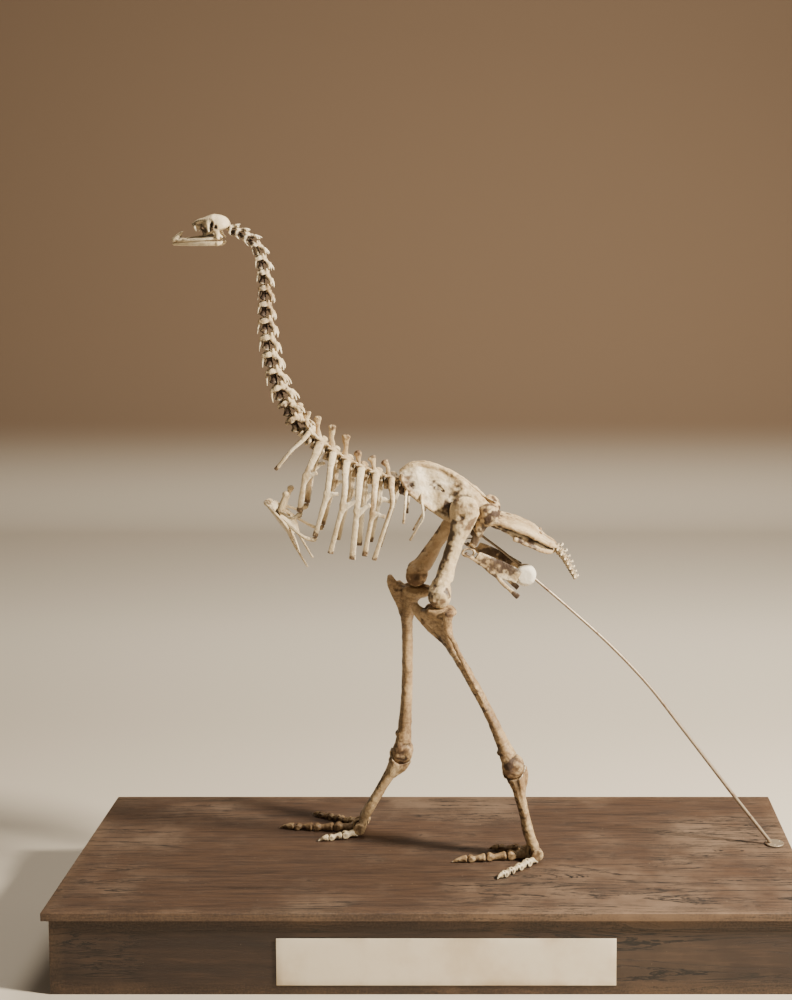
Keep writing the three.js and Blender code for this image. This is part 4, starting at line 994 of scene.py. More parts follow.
def skull():
    clay = Clay(SKULL_GRAIN)
    clay.add(ball((-444, 0, 1290), (54, 50, 47)))
    clay.add(ball((-435, 0, 1290), (36, 45, 36)), 6)
    clay.add(limb([(-450, 0, 1304, 42, 15), (-466, 0, 1302, 43, 11), (-480, 0, 1299, 35, 9),
                   (-491, 0, 1293, 22, 6)], cap=0.4), 7)
    clay.press(past_plane((-427, 0, 1284.5), (0.35, 0, -0.94)), 4)
    clay.press(past_plane((-440, 0, 1267), (0.2, 0, -1)), 4)
    clay.add(limb([(-450, 0, 1275, 20, 16), (-464, 0, 1270, 8, 7), (-490, 0, 1266.5, 5, 5),
                   (-512, 0, 1263, 7, 4.5)]), 4)
    clay.add(ball((-420.5, 0, 1285), (9, 9, 9)), 2)
    for y in (-1, 1):
        clay.press(ball((-472, y * 21, 1277), (33, 37, 29)), 2.5)
        clay.press(ball((-449, y * 27, 1294), (9, 17, 14)), 1.5)
        clay.press(ball((-442, y * 27, 1288), (9, 12, 10)), 1.5)
        clay.press(ball((-430, y * 22, 1277), (8, 9, 8)), 2)
    septum = [(-457, 1297), (-484, 1292), (-474, 1280), (-470, 1269), (-458, 1269)]
    clay.add(blade(septum, lambda x, z: 0 * x, 2.4, reach=(-4, 4), slope=1), 2)
    clay.press(ball((-470, 0, 1286), (8, 10, 5)), 1.5)
    clay.press(ball((-417, 0, 1293), (12, 10, 9)), 1.5)
    clay.add(limb([(-529, 0, 1262, 15, 11), (-522, 0, 1268.5, 12, 11), (-514, 0, 1277.5, 6, 5)]), 2.5)
    bill = [(-535, 0), (-531, 6), (-519, 11), (-503, 14), (-498, 11), (-508, 5), (-512, 0)]
    bill += [(x, -y) for x, y in bill[-2:0:-1]]
    clay.add(blade(bill, lambda x, y: 1262.5 + 0.05 * (x + 535) - 0.02 * y * y, 5.4, axes=(0, 1, 2),
                   reach=(1255, 1270), slope=1), 3)
    for y in (-1, 1):
        clay.press(ball((-519, y * 9, 1265), (6, 6, 4)), 1.5)
        clay.add(limb([(-437, y * 22, 1265.5, 4, 5.5), (-466, y * 22.5, 1263.4, 3.4, 5),
                       (-492, y * 17, 1262, 3.6, 5), (-508, y * 12, 1261.5, 5, 5.4)]), 2)
        clay.add(limb([(-442, y * 17, 1286, 7, 12), (-439, y * 21, 1275, 7, 11),
                       (-438, y * 22, 1264.6, 11, 9)], cap=0.5), 2.5)
        clay.add(limb([(-436, y * 20, 1273, 5, 6), (-430, y * 20, 1268, 4, 4.4)]), 2)
        clay.add(limb([(-459, y * 20, 1298, 8, 10), (-457, y * 25, 1289, 4.4, 6.5),
                       (-455, y * 26, 1279, 3, 3)]), 3)
        clay.add(limb([(-444, y * 22, 1296, 5, 6), (-446, y * 25.5, 1288, 3, 3.6)]), 2)
        clay.add(limb([(-488, y * 9, 1293, 7, 7), (-485, y * 16, 1287, 4, 5),
                       (-482, y * 17, 1280, 3, 3)]), 2)
        clay.add(limb([(-438, y * 17, 1268, 4, 4), (-456, y * 9, 1267, 3.4, 3.4),
                       (-478, y * 7, 1265.5, 3.4, 3.2), (-505, y * 8, 1262, 5, 3.6)]), 2)
    return clay


def mandible():
    clay = Clay(SKULL_GRAIN)
    for y in (-1, 1):
        clay.add(limb([(-430, y * 20, 1258.5, 5, 5), (-433, y * 21, 1256, 7, 7),
                       (-439, y * 22, 1254.8, 9, 9)], cap=0.7), 2)
        clay.add(limb([(-438, y * 22, 1254.8, 7, 9), (-462, y * 22, 1254.6, 4.4, 9.4),
                       (-492, y * 15, 1254.4, 4.4, 9), (-516, y * 8, 1254, 6, 8),
                       (-530, y * 2, 1254, 7, 5.6)]), 2)
    clay.add(ball((-525, 0, 1254), (15, 13, 6)), 3)
    return clay


# painted shade: the eye sockets, the skull's underside, the back of the head and pits in the braincase are
# painted dark where shade falls
head_shade = [((-470, 0, 1282), 13), ((-441, 0, 1275), 11), ((-417, 0, 1289), 6)]
head_shade += [((-449, side * 23, 1293), 5.5) for side in (-1, 1)]
keep("skull", skull(), [((-447, 24, 1288), 10), ((-447, -24, 1288), 10)], tone=0.05, wave=0.3,
     lumps=0.25, painted_shade=head_shade)
keep("mandible", mandible(), [], tone=0.05, wave=0.16)
print("skull points:", len(store["skull"][0][0]))

# %% [markdown]
# The legs carry the pose, so their joints come first: the place of each knee, ankle and foot,
# and the spot on the plinth where every claw touches. One description then serves both legs.

# %% Leg places
LEGS = {
    "left": {
        "sign": -1, "knee": (9, -88, 554), "crest": (-41, -84, 531), "crest_middle": (-4, 490),
        "bow": (0, 13, 22, 11, 3, 1, 0), "shin": 20, "splint": (14, 11, 5, 12, 13, 5, 2),
        "ankle": (156, -80, 196), "foot": (196, -72, 18),
        "toes": {"inner": (103, -30), "middle": (30, -98), "outer": (124, -182)},
    },
    "right": {
        "sign": 1, "knee": (-47, 86, 556), "crest": (-103, 84, 552), "crest_middle": (-74, 500),
        "bow": (0, 8, 13, 6, 1, 0, 0), "shin": 23, "splint": (14, 7, 0, 0, 2, 4, 2),
        "ankle": (-78, 78, 174), "foot": (-170, 68, 18),
        "toes": {"inner": (-254, 13), "middle": (-346, 88), "outer": (-284, 166)},
    },
}
BOW_AT = (0, 0.12, 0.25, 0.45, 0.65, 0.85, 1)
KNEE_RADIUS = 22
ANKLE_RADIUS = 22
LEG_GRAIN = 1.5
ACROSS = (0, 1, 0)


def shifted(place, x=0.0, y=0.0, z=0.0):
    return (place[0] + x, place[1] + y, place[2] + z)


def between(a, b, t, x=0.0, y=0.0, z=0.0):
    return (mix(a[0], b[0], t) + x, mix(a[1], b[1], t) + y, mix(a[2], b[2], t) + z)


def front_of(a, b):
    """The direction that faces forward, square to a leg bone from a to b."""
    down = np.array([b[0] - a[0], 0, b[2] - a[2]], dtype=float)
    down /= np.linalg.norm(down)
    return np.array([down[2], 0, -down[0]])


# %% [markdown]
# A thigh bone of this bird is short and thick. Its head is a ball on a stout neck, a rough crest
# stands up beside it, and at the knee two rollers stand on each side of a smooth channel.

# %% Thigh bones
def femur(leg):
    sign, knee = leg["sign"], leg["knee"]
    hip = (HIP["x"], sign * HIP["y"], HIP["z"])
    top = (HIP["x"] + 2, sign * 76, HIP["z"])
    front = front_of(top, knee)

    def near_knee(ahead, out, up):
        return shifted(knee, front[0] * ahead, sign * out, front[2] * ahead + up)

    clay = Clay(LEG_GRAIN)
    clay.add(limb([
        (*shifted(top, 2, sign * 3, 22), 18, 34), (*shifted(top, 1, sign * 2, 6), 30, 58),
        (*between(top, knee, 0.22), 32, 39), (*between(top, knee, 0.5, -3), 29, 29),
        (*between(top, knee, 0.76, -1), 42, 36), (*between(top, knee, 0.92), 58, 38)]))
    clay.add(limb([(*shifted(top, -18, sign * 5, 8), 13, 12), (*shifted(top, -2, sign * 7, 25), 14, 13),
                   (*shifted(top, 16, sign * 5, 19), 13, 14)]), 6)
    clay.add(ball(hip, (33.6, 33.6, 33.6)), 2)
    clay.add(limb([(*shifted(hip, 0, sign * 6), 24, 24), (*shifted(top, 0, -sign * 4, 4), 30, 34)],
                  side=(1, 0, 0), fine=1), 7)
    clay.add(ball(near_knee(0, -21, 0), (45, 27, 44)), 5)
    clay.add(ball(near_knee(0, 20, -2), (46, 29, 45)), 5)
    clay.add(drum(near_knee(-2, 0, 4), ACROSS, 18, 20, 6), 6)
    for out in (-17, 17):
        clay.add(limb([(*between(top, knee, 0.74, 7 * front[0], out, 7 * front[2]), 6, 6),
                       (*between(top, knee, 0.86, 12 * front[0], out, 12 * front[2]), 11, 9),
                       (*near_knee(14, out, 6), 14, 12)]), 8)
    clay.press(limb([(*near_knee(24, 0, 40), 9, 9), (*near_knee(25, 0, 14), 14, 12),
                     (*near_knee(22, 0, -16), 14, 12)]), 5)
    clay.press(limb([(*near_knee(-23, -1, 26), 24, 12), (*near_knee(-26, -1, 2), 13, 15),
                     (*near_knee(-8, -1, -24), 10, 12)]), 5)
    clay.press(limb([(*near_knee(-20, 32, 12), 4, 6), (*near_knee(-18, 32, -12), 4, 5)]), 3)
    clay.add(ball(near_knee(-2, 31, 8), (17, 8, 15)), 4)
    clay.press(ball(near_knee(6, 36, -8), (12, 6, 9)), 3)
    clay.press(ball(near_knee(-2, -35, 2), (15, 6, 14)), 4)
    clay.press(ball(shifted(top, 24, -sign * 8, -16), (20, 22, 34)), 6)
    clay.add(ball(shifted(top, 0, sign * 7, 16), (52, 20, 42)), 8)
    clay.add(limb([(*between(top, knee, 0.2, 15, sign * 8), 4, 6), (*between(top, knee, 0.5, 12, sign * 6), 4, 5),
                   (*between(top, knee, 0.72, 12, sign * 10), 4, 5)]), 4)
    clay.press(ball(shifted(top, -6, sign * 19, -2), (12, 8, 9)), 3)
    clay.press(ball(shifted(top, 12, sign * 18, 20), (9, 6, 7)), 3)
    ends = [(near_knee(0, -26, -6), 26), (near_knee(0, 26, -8), 24), (shifted(top, 10, sign * 12, -14), 24),
            (shifted(top, -16, sign * 10, 26), 18)]
    # painted shade: dark spots down the front of the shaft, the side away from the lamp, and in hollows at the
    # knee and the hip
    shade_paint = [(tuple(np.array(between(top, knee, t, 0, sign * 6)) + front * 17), 15)
            for t in np.linspace(0.16, 0.8, 9)]
    shade_paint += [(near_knee(12, 24, 6), 15), (near_knee(-16, 26, 14), 12), (shifted(top, -3, sign * 15, -6), 7),
             (near_knee(-22, 0, 10), 14)]
    return clay, ends, shade_paint


# %% [markdown]
# The shin bone is the longest. Its broad top carries a crest that rises in front of the knee,
# and its lower end is a pulley of two rims. A thin splint bone lies along its outer side.

# %% Shin bones and splint bones
def tibiotarsus(leg):
    sign, knee, crest, ankle = leg["sign"], leg["knee"], leg["crest"], leg["ankle"]
    shin = leg["shin"]
    kx, ky, kz = knee
    front = front_of(knee, ankle)

    def at(t, ahead=0.0, out=0.0):
        ahead += float(np.interp(t, BOW_AT, leg["bow"]))
        return between(knee, ankle, t, front[0] * ahead, sign * out, front[2] * ahead)

    clay = Clay(LEG_GRAIN)
    clay.add(limb([
        (*at(0.1), 50, 40), (*at(0.17), 42, 30), (*at(0.26), 34, shin + 1), (*at(0.36), 31, shin),
        (*at(0.55), 29, shin), (*at(0.72), 30, shin + 1), (*at(0.86), 36, shin + 6),
        (*at(0.94), 42, 34)], cap=0.3))
    clay.add(ball((kx + 2, ky, kz - 37), (64, 66, 26)), 9)
    clay.add(limb([(kx - 22, ky - sign * 14, kz - 30, 22, 13), (kx + 22, ky - sign * 14, kz - 34, 20, 12)]), 6)
    clay.add(limb([(kx - 20, ky + sign * 16, kz - 30, 22, 13), (kx + 22, ky + sign * 17, kz - 34, 20, 12)]), 6)
    mx, mz = leg["crest_middle"]
    cx, cz = crest[0], crest[2]
    clay.add(limb([(*at(0.25), 9, 24), (mx, crest[1] - sign * 5, mz, 9, 38),
                   (cx + 5, crest[1] - sign * 7, cz - 15, 10, 23), (cx, crest[1] - sign * 6, cz - 1, 12, 11)]), 6)
    clay.add(limb([(*at(0.22), 9, 20), (mix(kx, mx, 0.8), crest[1] + sign * 12, mz + 6, 9, 26),
                   (mix(kx, cx, 0.72), crest[1] + sign * 16, mix(kz - 34, cz - 12, 0.6), 11, 15)]), 6)
    clay.press(limb([(mix(kx, cx, 0.8), crest[1] + sign * 4, mix(kz, cz, 0.7) - 22, 10, 12),
                     (mix(kx, mx, 1.1), crest[1] + sign * 3, mz - 12, 8, 9)]), 4)
    clay.add(limb([(*at(0.16, -2, 22), 9, 13), (*at(0.3, -1, 15), 7, 10), (*at(0.46, 0, 12), 5, 9)]), 5)
    for side in (-12, 12):
        clay.add(ball(shifted(ankle, 0, side * 1.05), (44, 22, 43)), 4)
        clay.add(limb([(*at(0.9, 4, side), 15, 20), (*at(0.98, 6, side), 17, 24)]), 5)
    clay.add(drum(ankle, ACROSS, ANKLE_RADIUS - 4, 18, 3), 5)
    clay.press(limb([(*at(0.82, 21), 7, 10), (*at(0.93, 22), 12, 12), (*at(1.0, 27), 9, 12)]), 4)
    clay.add(limb([(*at(0.9, 14, -11), 7, 8), (*at(0.9, 16, 0), 6, 6), (*at(0.9, 14, 11), 7, 8)],
                  side=(1, 0, 0)), 2)
    for side in (-1, 1):
        clay.press(ball(shifted(ankle, 2, side * 26, 2), (17, 8, 15)), 4)
        clay.add(ball(shifted(ankle, -6, side * 20, 12), (15, 9, 16)), 6)
    clay.press(drum(knee, ACROSS, KNEE_RADIUS + 1.1, 60, 1), 2)
    clay.press(drum(shifted(knee, 0, 0, -3), ACROSS, KNEE_RADIUS + 1.1, 60, 1), 2)
    clay.press(fibula_limb(leg, 1.4), 1)
    clay.press(ball(at(0.36, -14, -4), (7, 5, 20)), 3)
    ends = [((kx + 8, ky, kz - 36), 30), (shifted(ankle, 0, 22 * sign), 28), (shifted(ankle, 0, -22 * sign), 28),
            (shifted(crest, 26, 0, -22), 18)]
    # painted shade: dark spots down the front of the shaft, away from the lamp, and round the knee and the ankle
    shade_paint = [(at(t, 12, 3), 15) for t in np.linspace(0.24, 0.9, 14)]
    shade_paint += [((kx + 14, ky + sign * 26, kz - 44), 15), ((mix(kx, crest[0], 0.5), ky, kz - 38), 15),
             (shifted(ankle, -8, sign * 20, 10), 14), (shifted(ankle, 4, -sign * 20, -4), 12)]
    return clay, ends, shade_paint


# Rows of the splint bone: how far down the shin, how far out, then its width and depth
FIBULA = [(0.075, 39, 12, 24), (0.12, 38, 11, 18), (0.165, 34, 9, 13), (0.215, 31, 8, 9),
          (0.28, 27, 7, 9), (0.42, 19, 6, 7), (0.61, 16, 4, 4)]


def fibula_limb(leg, grow=0.0):
    rows = []
    front = front_of(leg["knee"], leg["ankle"])
    for (t, out, wide, deep), aft in zip(FIBULA, leg["splint"]):
        ahead = float(np.interp(t, BOW_AT, leg["bow"]))
        place = between(leg["knee"], leg["ankle"], t, aft + front[0] * ahead, leg["sign"] * out,
                        front[2] * ahead)
        rows.append((*place, wide + 2 * grow, deep + 2 * grow))
    return limb(rows, cap=0.5)


def fibula(leg):
    clay = Clay(1.1)
    clay.add(fibula_limb(leg))
    top = between(leg["knee"], leg["ankle"], 0.08, 10, leg["sign"] * 39)
    clay.press(ball(shifted(top, -3, -leg["sign"] * 7, 3), (12, 5, 16)), 2)
    clay.press(ball(shifted(top, 0, leg["sign"] * 7, -4), (7, 4, 12)), 2)
    # painted shade: dark spots behind the splint bone's head and along its length, where it shades the shin
    shade_paint = [(shifted(top, -6, 0, 0), 8)]
    shade_paint += [(shifted(between(leg["knee"], leg["ankle"], t, 8, leg["sign"] * 24), -6), 9)
             for t in np.linspace(0.2, 0.55, 6)]
    return clay, [(top, 16)], shade_paint


# %% [markdown]
# The foot bone ends in three rollers, one for each toe. A toe is a row of knuckled bones, each
# with a hollow at its back end, a grooved roller in front and a pit on either side, and a claw
# at the end. The claws lie on the plinth.

# %% Feet
TROCHLEA = {"spread": 25, "middle": 14, "side": 12}
TOES = {"inner": (-1, 3, 20), "middle": (0, 4, 25), "outer": (1, 5, 20)}
FOOT_GRAIN = 1.2
SOLE = 0.5
# Outlines of a toe bone and of a claw: how far along, how high, then width and height as shares
KNUCKLED = [(0.1, 0.5, 1.0, 0.96), (0.26, 0.46, 0.82, 0.8), (0.6, 0.4, 0.6, 0.58),
            (0.82, 0.42, 0.8, 0.74)]
CLAWED = [(0.1, 0.5, 0.92, 0.94), (0.32, 0.48, 0.7, 0.8), (0.66, 0.36, 0.42, 0.5),
          (0.95, 0.14, 0.12, 0.16)]


def foot_frame(leg):
    foot = np.array(leg["foot"], dtype=float)
    heading = np.array([*leg["toes"]["middle"], 0]) - np.array([foot[0], foot[1], 0])
    heading /= np.linalg.norm(heading)
    outward = np.array([-heading[1], heading[0], 0]) * -leg["sign"]
    return foot, heading, outward


def toe_joint(leg, place):
    foot, heading, outward = foot_frame(leg)
    return foot + outward * place * TROCHLEA["spread"] - heading * (0 if place == 0 else 5)


def roller(leg, place):
    return TROCHLEA["middle" if place == 0 else "side"], 12 if place == 0 else 10


def below(height):
    """Everything under a level, for cutting a sole flat."""
    return Lump(lambda p: p[:, 2] - height, (-2000, -2000, -2000), (2000, 2000, 2000))


def tarsometatarsus(leg):
    ankle = leg["ankle"]
    foot, heading, outward = foot_frame(leg)
    front = front_of(ankle, foot)

    def at(t, ahead=0.0, out=0.0):
        return tuple(np.array(between(ankle, foot, t)) + front * ahead + outward * out)

    clay = Clay(LEG_GRAIN)
    clay.add(limb([(*at(0.05), 46, 41), (*at(0.17), 45, 34), (*at(0.34), 34, 24), (*at(0.6), 36, 21),
                   (*at(0.8), 50, 22), (*at(0.89), 56, 19)], side=outward, cap=0.4))
    clay.add(limb([(*at(0.06, -20, -3), 15, 14), (*at(0.17, -19, -3), 13, 14), (*at(0.3, -11), 8, 8)],
                  side=outward), 5)
    for place in (-1, 0, 1):
        radius, half = roller(leg, place)
        end = toe_joint(leg, place)
        clay.add(limb([(*at(0.72, 0, place * 16), 15, 17), (*end, 15, 17)], side=outward, fine=1), 3)
        for rim in (-0.62, 0.62):
            clay.add(drum(end + outward * half * rim, outward, radius, half * 0.38, 2), 2)
        clay.add(drum(end, outward, radius - 2.6, half * 0.9, 1.5), 1.5)
    for side in (-1, 1):
        clay.press(limb([(*at(0.1, 22, side * 9), 6, 7), (*at(0.32, 14, side * 5), 4, 6)],
                        side=outward), 3)
    clay.press(limb([(*at(0.2, 16), 9, 8), (*at(0.62, 13), 8, 7)], side=outward), 4)
    clay.press(limb([(*at(0.12, 2, 24), 6, 9), (*at(0.3, 1, 19), 5, 7), (*at(0.5, 0, 19.5), 4, 5)],
                    side=outward), 3)
    clay.add(limb([(*at(0.07, 19, -10), 12, 9), (*at(0.07, 20, 10), 12, 9)], side=(0, 0, 1)), 5)
    clay.press(drum(ankle, ACROSS, ANKLE_RADIUS + 1.1, 60, 1), 1.5)
    clay.press(below(SOLE), 1)
    ends = [(at(0.03, 0, 14), 26), (at(0.03, 0, -14), 26)]
    ends += [(toe_joint(leg, place), 16) for place in (-1, 0, 1)]
    # painted shade: dark spots down the front of the foot bone and at its ends
    shade_paint = [(at(t, 12, 4), 16) for t in np.linspace(0.12, 0.84, 9)]
    shade_paint += [(at(0.06, 6, 22), 12), (at(0.9, 0, 0), 10)]
    return clay, ends, shade_paint


def toe_bones(leg, name):
    place, count, width = TOES[name]
    radius, half = roller(leg, place)
    start = toe_joint(leg, place)
    run = np.array([*leg["toes"][name], 0]) - np.array([start[0], start[1], 0])
    length = np.linalg.norm(run)
    ahead = run / length
    sideways = np.array([-ahead[1], ahead[0], 0])
    shares = [0.95 if i == count - 1 else mix(1.35, 0.75, i / count) for i in range(count)]
    done = 0.3 * radius
    for i, share in enumerate(shares):
        long = (length - 0.3 * radius) * share / sum(shares)
        t = i / count
        wide = width * mix(1, 0.62, t) * vary(0.96, 1.04)
        high = mix(2 * radius - 4, 13, math.sqrt(t))
        claw = i == count - 1

        def at(along, rise, out=0.0):
            return (*(start + ahead * (done + along * long) + sideways * out)[:2], rise * high)

        rows = [(*at(along, rise), w * wide, h * high)
                for along, rise, w, h in (CLAWED if claw else KNUCKLED)]
        clay = Clay(FOOT_GRAIN)
        clay.add(limb(rows, side=sideways, cap=0.35))
        if not claw:
            clay.add(drum(at(0.84, 0.4), sideways, 0.37 * high, 0.38 * wide, 3), 4)
            clay.press(limb([(*at(0.97, 0.8), 2.6, 3), (*at(1.0, 0.3), 3.2, 3.5)], side=sideways), 2.5)
            for side in (-1, 1):
                clay.press(ball(at(0.83, 0.44, side * 0.5 * wide), (7, 3.4, 6)), 3)
        else:
            for side in (-1, 1):
                clay.press(limb([(*at(0.3, 0.45, side * 0.4 * wide), 2, 2.4),
                                 (*at(0.8, 0.22, side * 0.2 * wide), 1.4, 1.6)], side=sideways), 1.5)
        if i == 0:
            clay.press(drum(start, sideways, radius + 1, 40, 1), 1.2)
        else:
            clay.press(ball(at(-0.06, 0.42), (0.16 * long, 1.2 * wide, 0.7 * high)), 1.5)
        clay.press(below(SOLE), 1)
        # painted shade spots at each toe bone's joints and under it
        shade_paint = [(at(0.0, 0.3), 8), (at(0.5, 0.15), 8)] + ([] if claw else [(at(1.0, 0.5), 6)])
        yield clay, [(at(0.0, 0.5), 8), (at(1.0, 0.3), 7 if not claw else 1)], shade_paint
        done += long


LEG_TONES = {"femur": 0.4, "tibiotarsus": 0.75, "fibula": 0.75, "tarsometatarsus": 0.65}
PALE_TOES = [("left", "outer"), ("right", "inner")]
for name, leg in LEGS.items():
    for piece, build in (("femur", femur), ("tibiotarsus", tibiotarsus), ("fibula", fibula),
                         ("tarsometatarsus", tarsometatarsus)):
        clay, ends, shade_paint = build(leg)
        keep(f"{piece}_{name}", clay, ends, tone=LEG_TONES[piece], wave=0.6, lumps=0.8, painted_shade=shade_paint)
    for toe_name in TOES:
        for clay, ends, shade_paint in toe_bones(leg, toe_name):
            tone = vary(0.05, 0.2) if (name, toe_name) in PALE_TOES else vary(0.7, 1.0)
            keep(f"toe_{toe_name}_{name}", clay, ends, tone=tone, wave=0.75, lumps=0.8, painted_shade=shade_paint)
print("bones made:", sum(len(bones) for bones in store.values()))

# %% [markdown]
# Now the bones become Blender meshes. Bones that belong to one imported solid are joined into one
# object, but each stays a closed mesh of its own. Five numbers travel with every point: how
# deep it lies in a hollow, how near it is to a rough end, which shade this bone has, how sharp
# its edge is, and how much painted shade it gets, as dark spots where shade falls.

# %% Meshes from the bones
objects = {}


def build_object(name, points, faces, layers=None, smooth=True):
    """A mesh object from points in metres, and faces as one array of equal corners."""
    mesh = bpy.data.meshes.new(name)
    corners = faces.shape[1]
    mesh.vertices.add(len(points))
    mesh.vertices.foreach_set("co", points.astype(np.float32).ravel())
    mesh.loops.add(faces.size)
    mesh.loops.foreach_set("vertex_index", faces.astype(np.int32).ravel())
    mesh.polygons.add(len(faces))
    mesh.polygons.foreach_set("loop_start", np.arange(0, faces.size, corners, dtype=np.int32))
    mesh.polygons.foreach_set("use_smooth", np.full(len(faces), smooth))
    for layer, values in (layers or {}).items():
        attribute = mesh.attributes.new(layer, "FLOAT", "POINT")
        attribute.data.foreach_set("value", values.astype(np.float32))
    mesh.update(calc_edges=True)
    mesh.validate()
    piece = bpy.data.objects.new(name, mesh)
    bpy.context.scene.collection.objects.link(piece)
    objects[name] = piece
    return piece


total = 0
for name, bones in store.items():
    starts = np.cumsum([0] + [len(bone[0]) for bone in bones])
    points = to_metres(np.vstack([bone[0] for bone in bones]))
    faces = np.vstack([bone[1] + start for bone, start in zip(bones, starts)])
    # the fifth layer is painted shade: dark spots where shade falls
    layers = {layer: np.concatenate([bone[i] for bone in bones])
              for layer, i in (("hollow", 2), ("rough_end", 3), ("shade", 4), ("edge", 5), ("painted_shade", 6))}
    piece = build_object(f"bone_{name}", points, faces, layers)
    nodes = ("thorax_left", "thorax_right") if name == "chest" else (name,)
    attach(piece, "root")
    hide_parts(*nodes)
    total += 2 * len(faces)
print("triangles in the bones:", total)


# %% [markdown]
# Materials are sums over numbers that vary across a surface. A small class wraps one output of
# a node, so that a sum is written as a plain expression and adds the nodes that it needs.

# %% Writing materials as sums
class Wire:
    """One output of a node. Sums with it add the nodes that work them out."""

    def __init__(self, graph, socket):
        self.graph = graph
        self.socket = socket

    def math(self, operation, *others):
        inputs = dict(enumerate((self, *others)))
        return self.graph.node("ShaderNodeMath", {"operation": operation}, inputs)

    def __add__(self, other):
        return self.math("ADD", other)

    def __mul__(self, other):
        return self.math("MULTIPLY", other)

    def __sub__(self, other):
        return self.math("SUBTRACT", other)

    def __rsub__(self, other):
        inputs = {0: other, 1: self}
        return self.graph.node("ShaderNodeMath", {"operation": "SUBTRACT"}, inputs)

    def __pow__(self, other):
        return self.math("POWER", other)

    __radd__ = __add__
    __rmul__ = __mul__

    def ramp(self, low, high):
        """0 up to low, 1 from high, and smooth between."""
        return self.graph.node("ShaderNodeMapRange", {"interpolation_type": "SMOOTHSTEP"},
                               {"Value": self, "From Min": low, "From Max": high})


class Graph:
    """The node tree of one material."""

    def __init__(self, name):
        self.material = bpy.data.materials.new(name)
        self.material.use_nodes = True
        self.tree = self.material.node_tree
        self.tree.nodes.clear()

    def node(self, kind, settings=None, inputs=None, output=0):
        made = self.tree.nodes.new(kind)
        for key, value in (settings or {}).items():
            setattr(made, key, value)
        for key, value in (inputs or {}).items():
            if isinstance(value, Wire):
                self.tree.links.new(value.socket, made.inputs[key])
            else:
                made.inputs[key].default_value = value
        return Wire(self, made.outputs[output])

    def place(self, stretch=(1, 1, 1)):
        """The point on the object, in metres, stretched so that a pattern has a grain."""
        here = self.node("ShaderNodeTexCoord", output="Object")
        return self.node("ShaderNodeVectorMath", {"operation": "MULTIPLY"}, {0: here, 1: stretch})

    def noise(self, scale, detail=4.0, rough=0.55, place=None, twist=0.0):
        return self.node("ShaderNodeTexNoise", None, {
            "Vector": place or self.place(), "Scale": scale, "Detail": detail, "Roughness": rough,
            "Distortion": twist})

    def cells(self, scale, place=None):
        return self.node("ShaderNodeTexVoronoi", None, {"Vector": place or self.place(), "Scale": scale})

    def layer(self, name):
        return self.node("ShaderNodeAttribute", {"attribute_name": name}, output="Fac")

    def tint(self, first, second, share, how="MIX"):
        return self.node("ShaderNodeMix", {"data_type": "RGBA", "blend_type": how},
                         {0: share, 6: first, 7: second}, output=2)

    def finish(self, colour, rough, height=None, depth=0.001, strength=1.0, **constants):
        inputs = {"Base Color": colour, "Roughness": rough, **constants}
        if height is not None:
            inputs["Normal"] = self.node("ShaderNodeBump", None, {
                "Height": height, "Distance": depth, "Strength": strength})
        shader = self.node("ShaderNodeBsdfPrincipled", None, inputs)
        self.node_out = self.tree.nodes.new("ShaderNodeOutputMaterial")
        self.tree.links.new(shader.socket, self.node_out.inputs["Surface"])
        return self.material


def rgb(red, green, blue):
    return (red, green, blue, 1.0)


# %% [markdown]
# Bone that has hung in a museum for years is ivory on its polished faces, tan where it is
# Hollows are painted darkest, partly as dirt and partly as painted shade, and spots where shade falls between
# parts are painted dark brown as painted shade.
# Hollows hold the darkest dirt.

# %% Bone
PALE, IVORY, CREAM = rgb(0.90, 0.80, 0.60), rgb(0.74, 0.60, 0.385), rgb(0.55, 0.40, 0.22)
# the last of these is the near-black of dirt in pores and of painted shade in hollows
TAN, UMBER, DIRT_AND_SHADE = rgb(0.32, 0.20, 0.095), rgb(0.12, 0.062, 0.028), rgb(0.03, 0.017, 0.010)
# near-black brown for painted shade
SHADOW_BROWN = rgb(0.055, 0.030, 0.017)


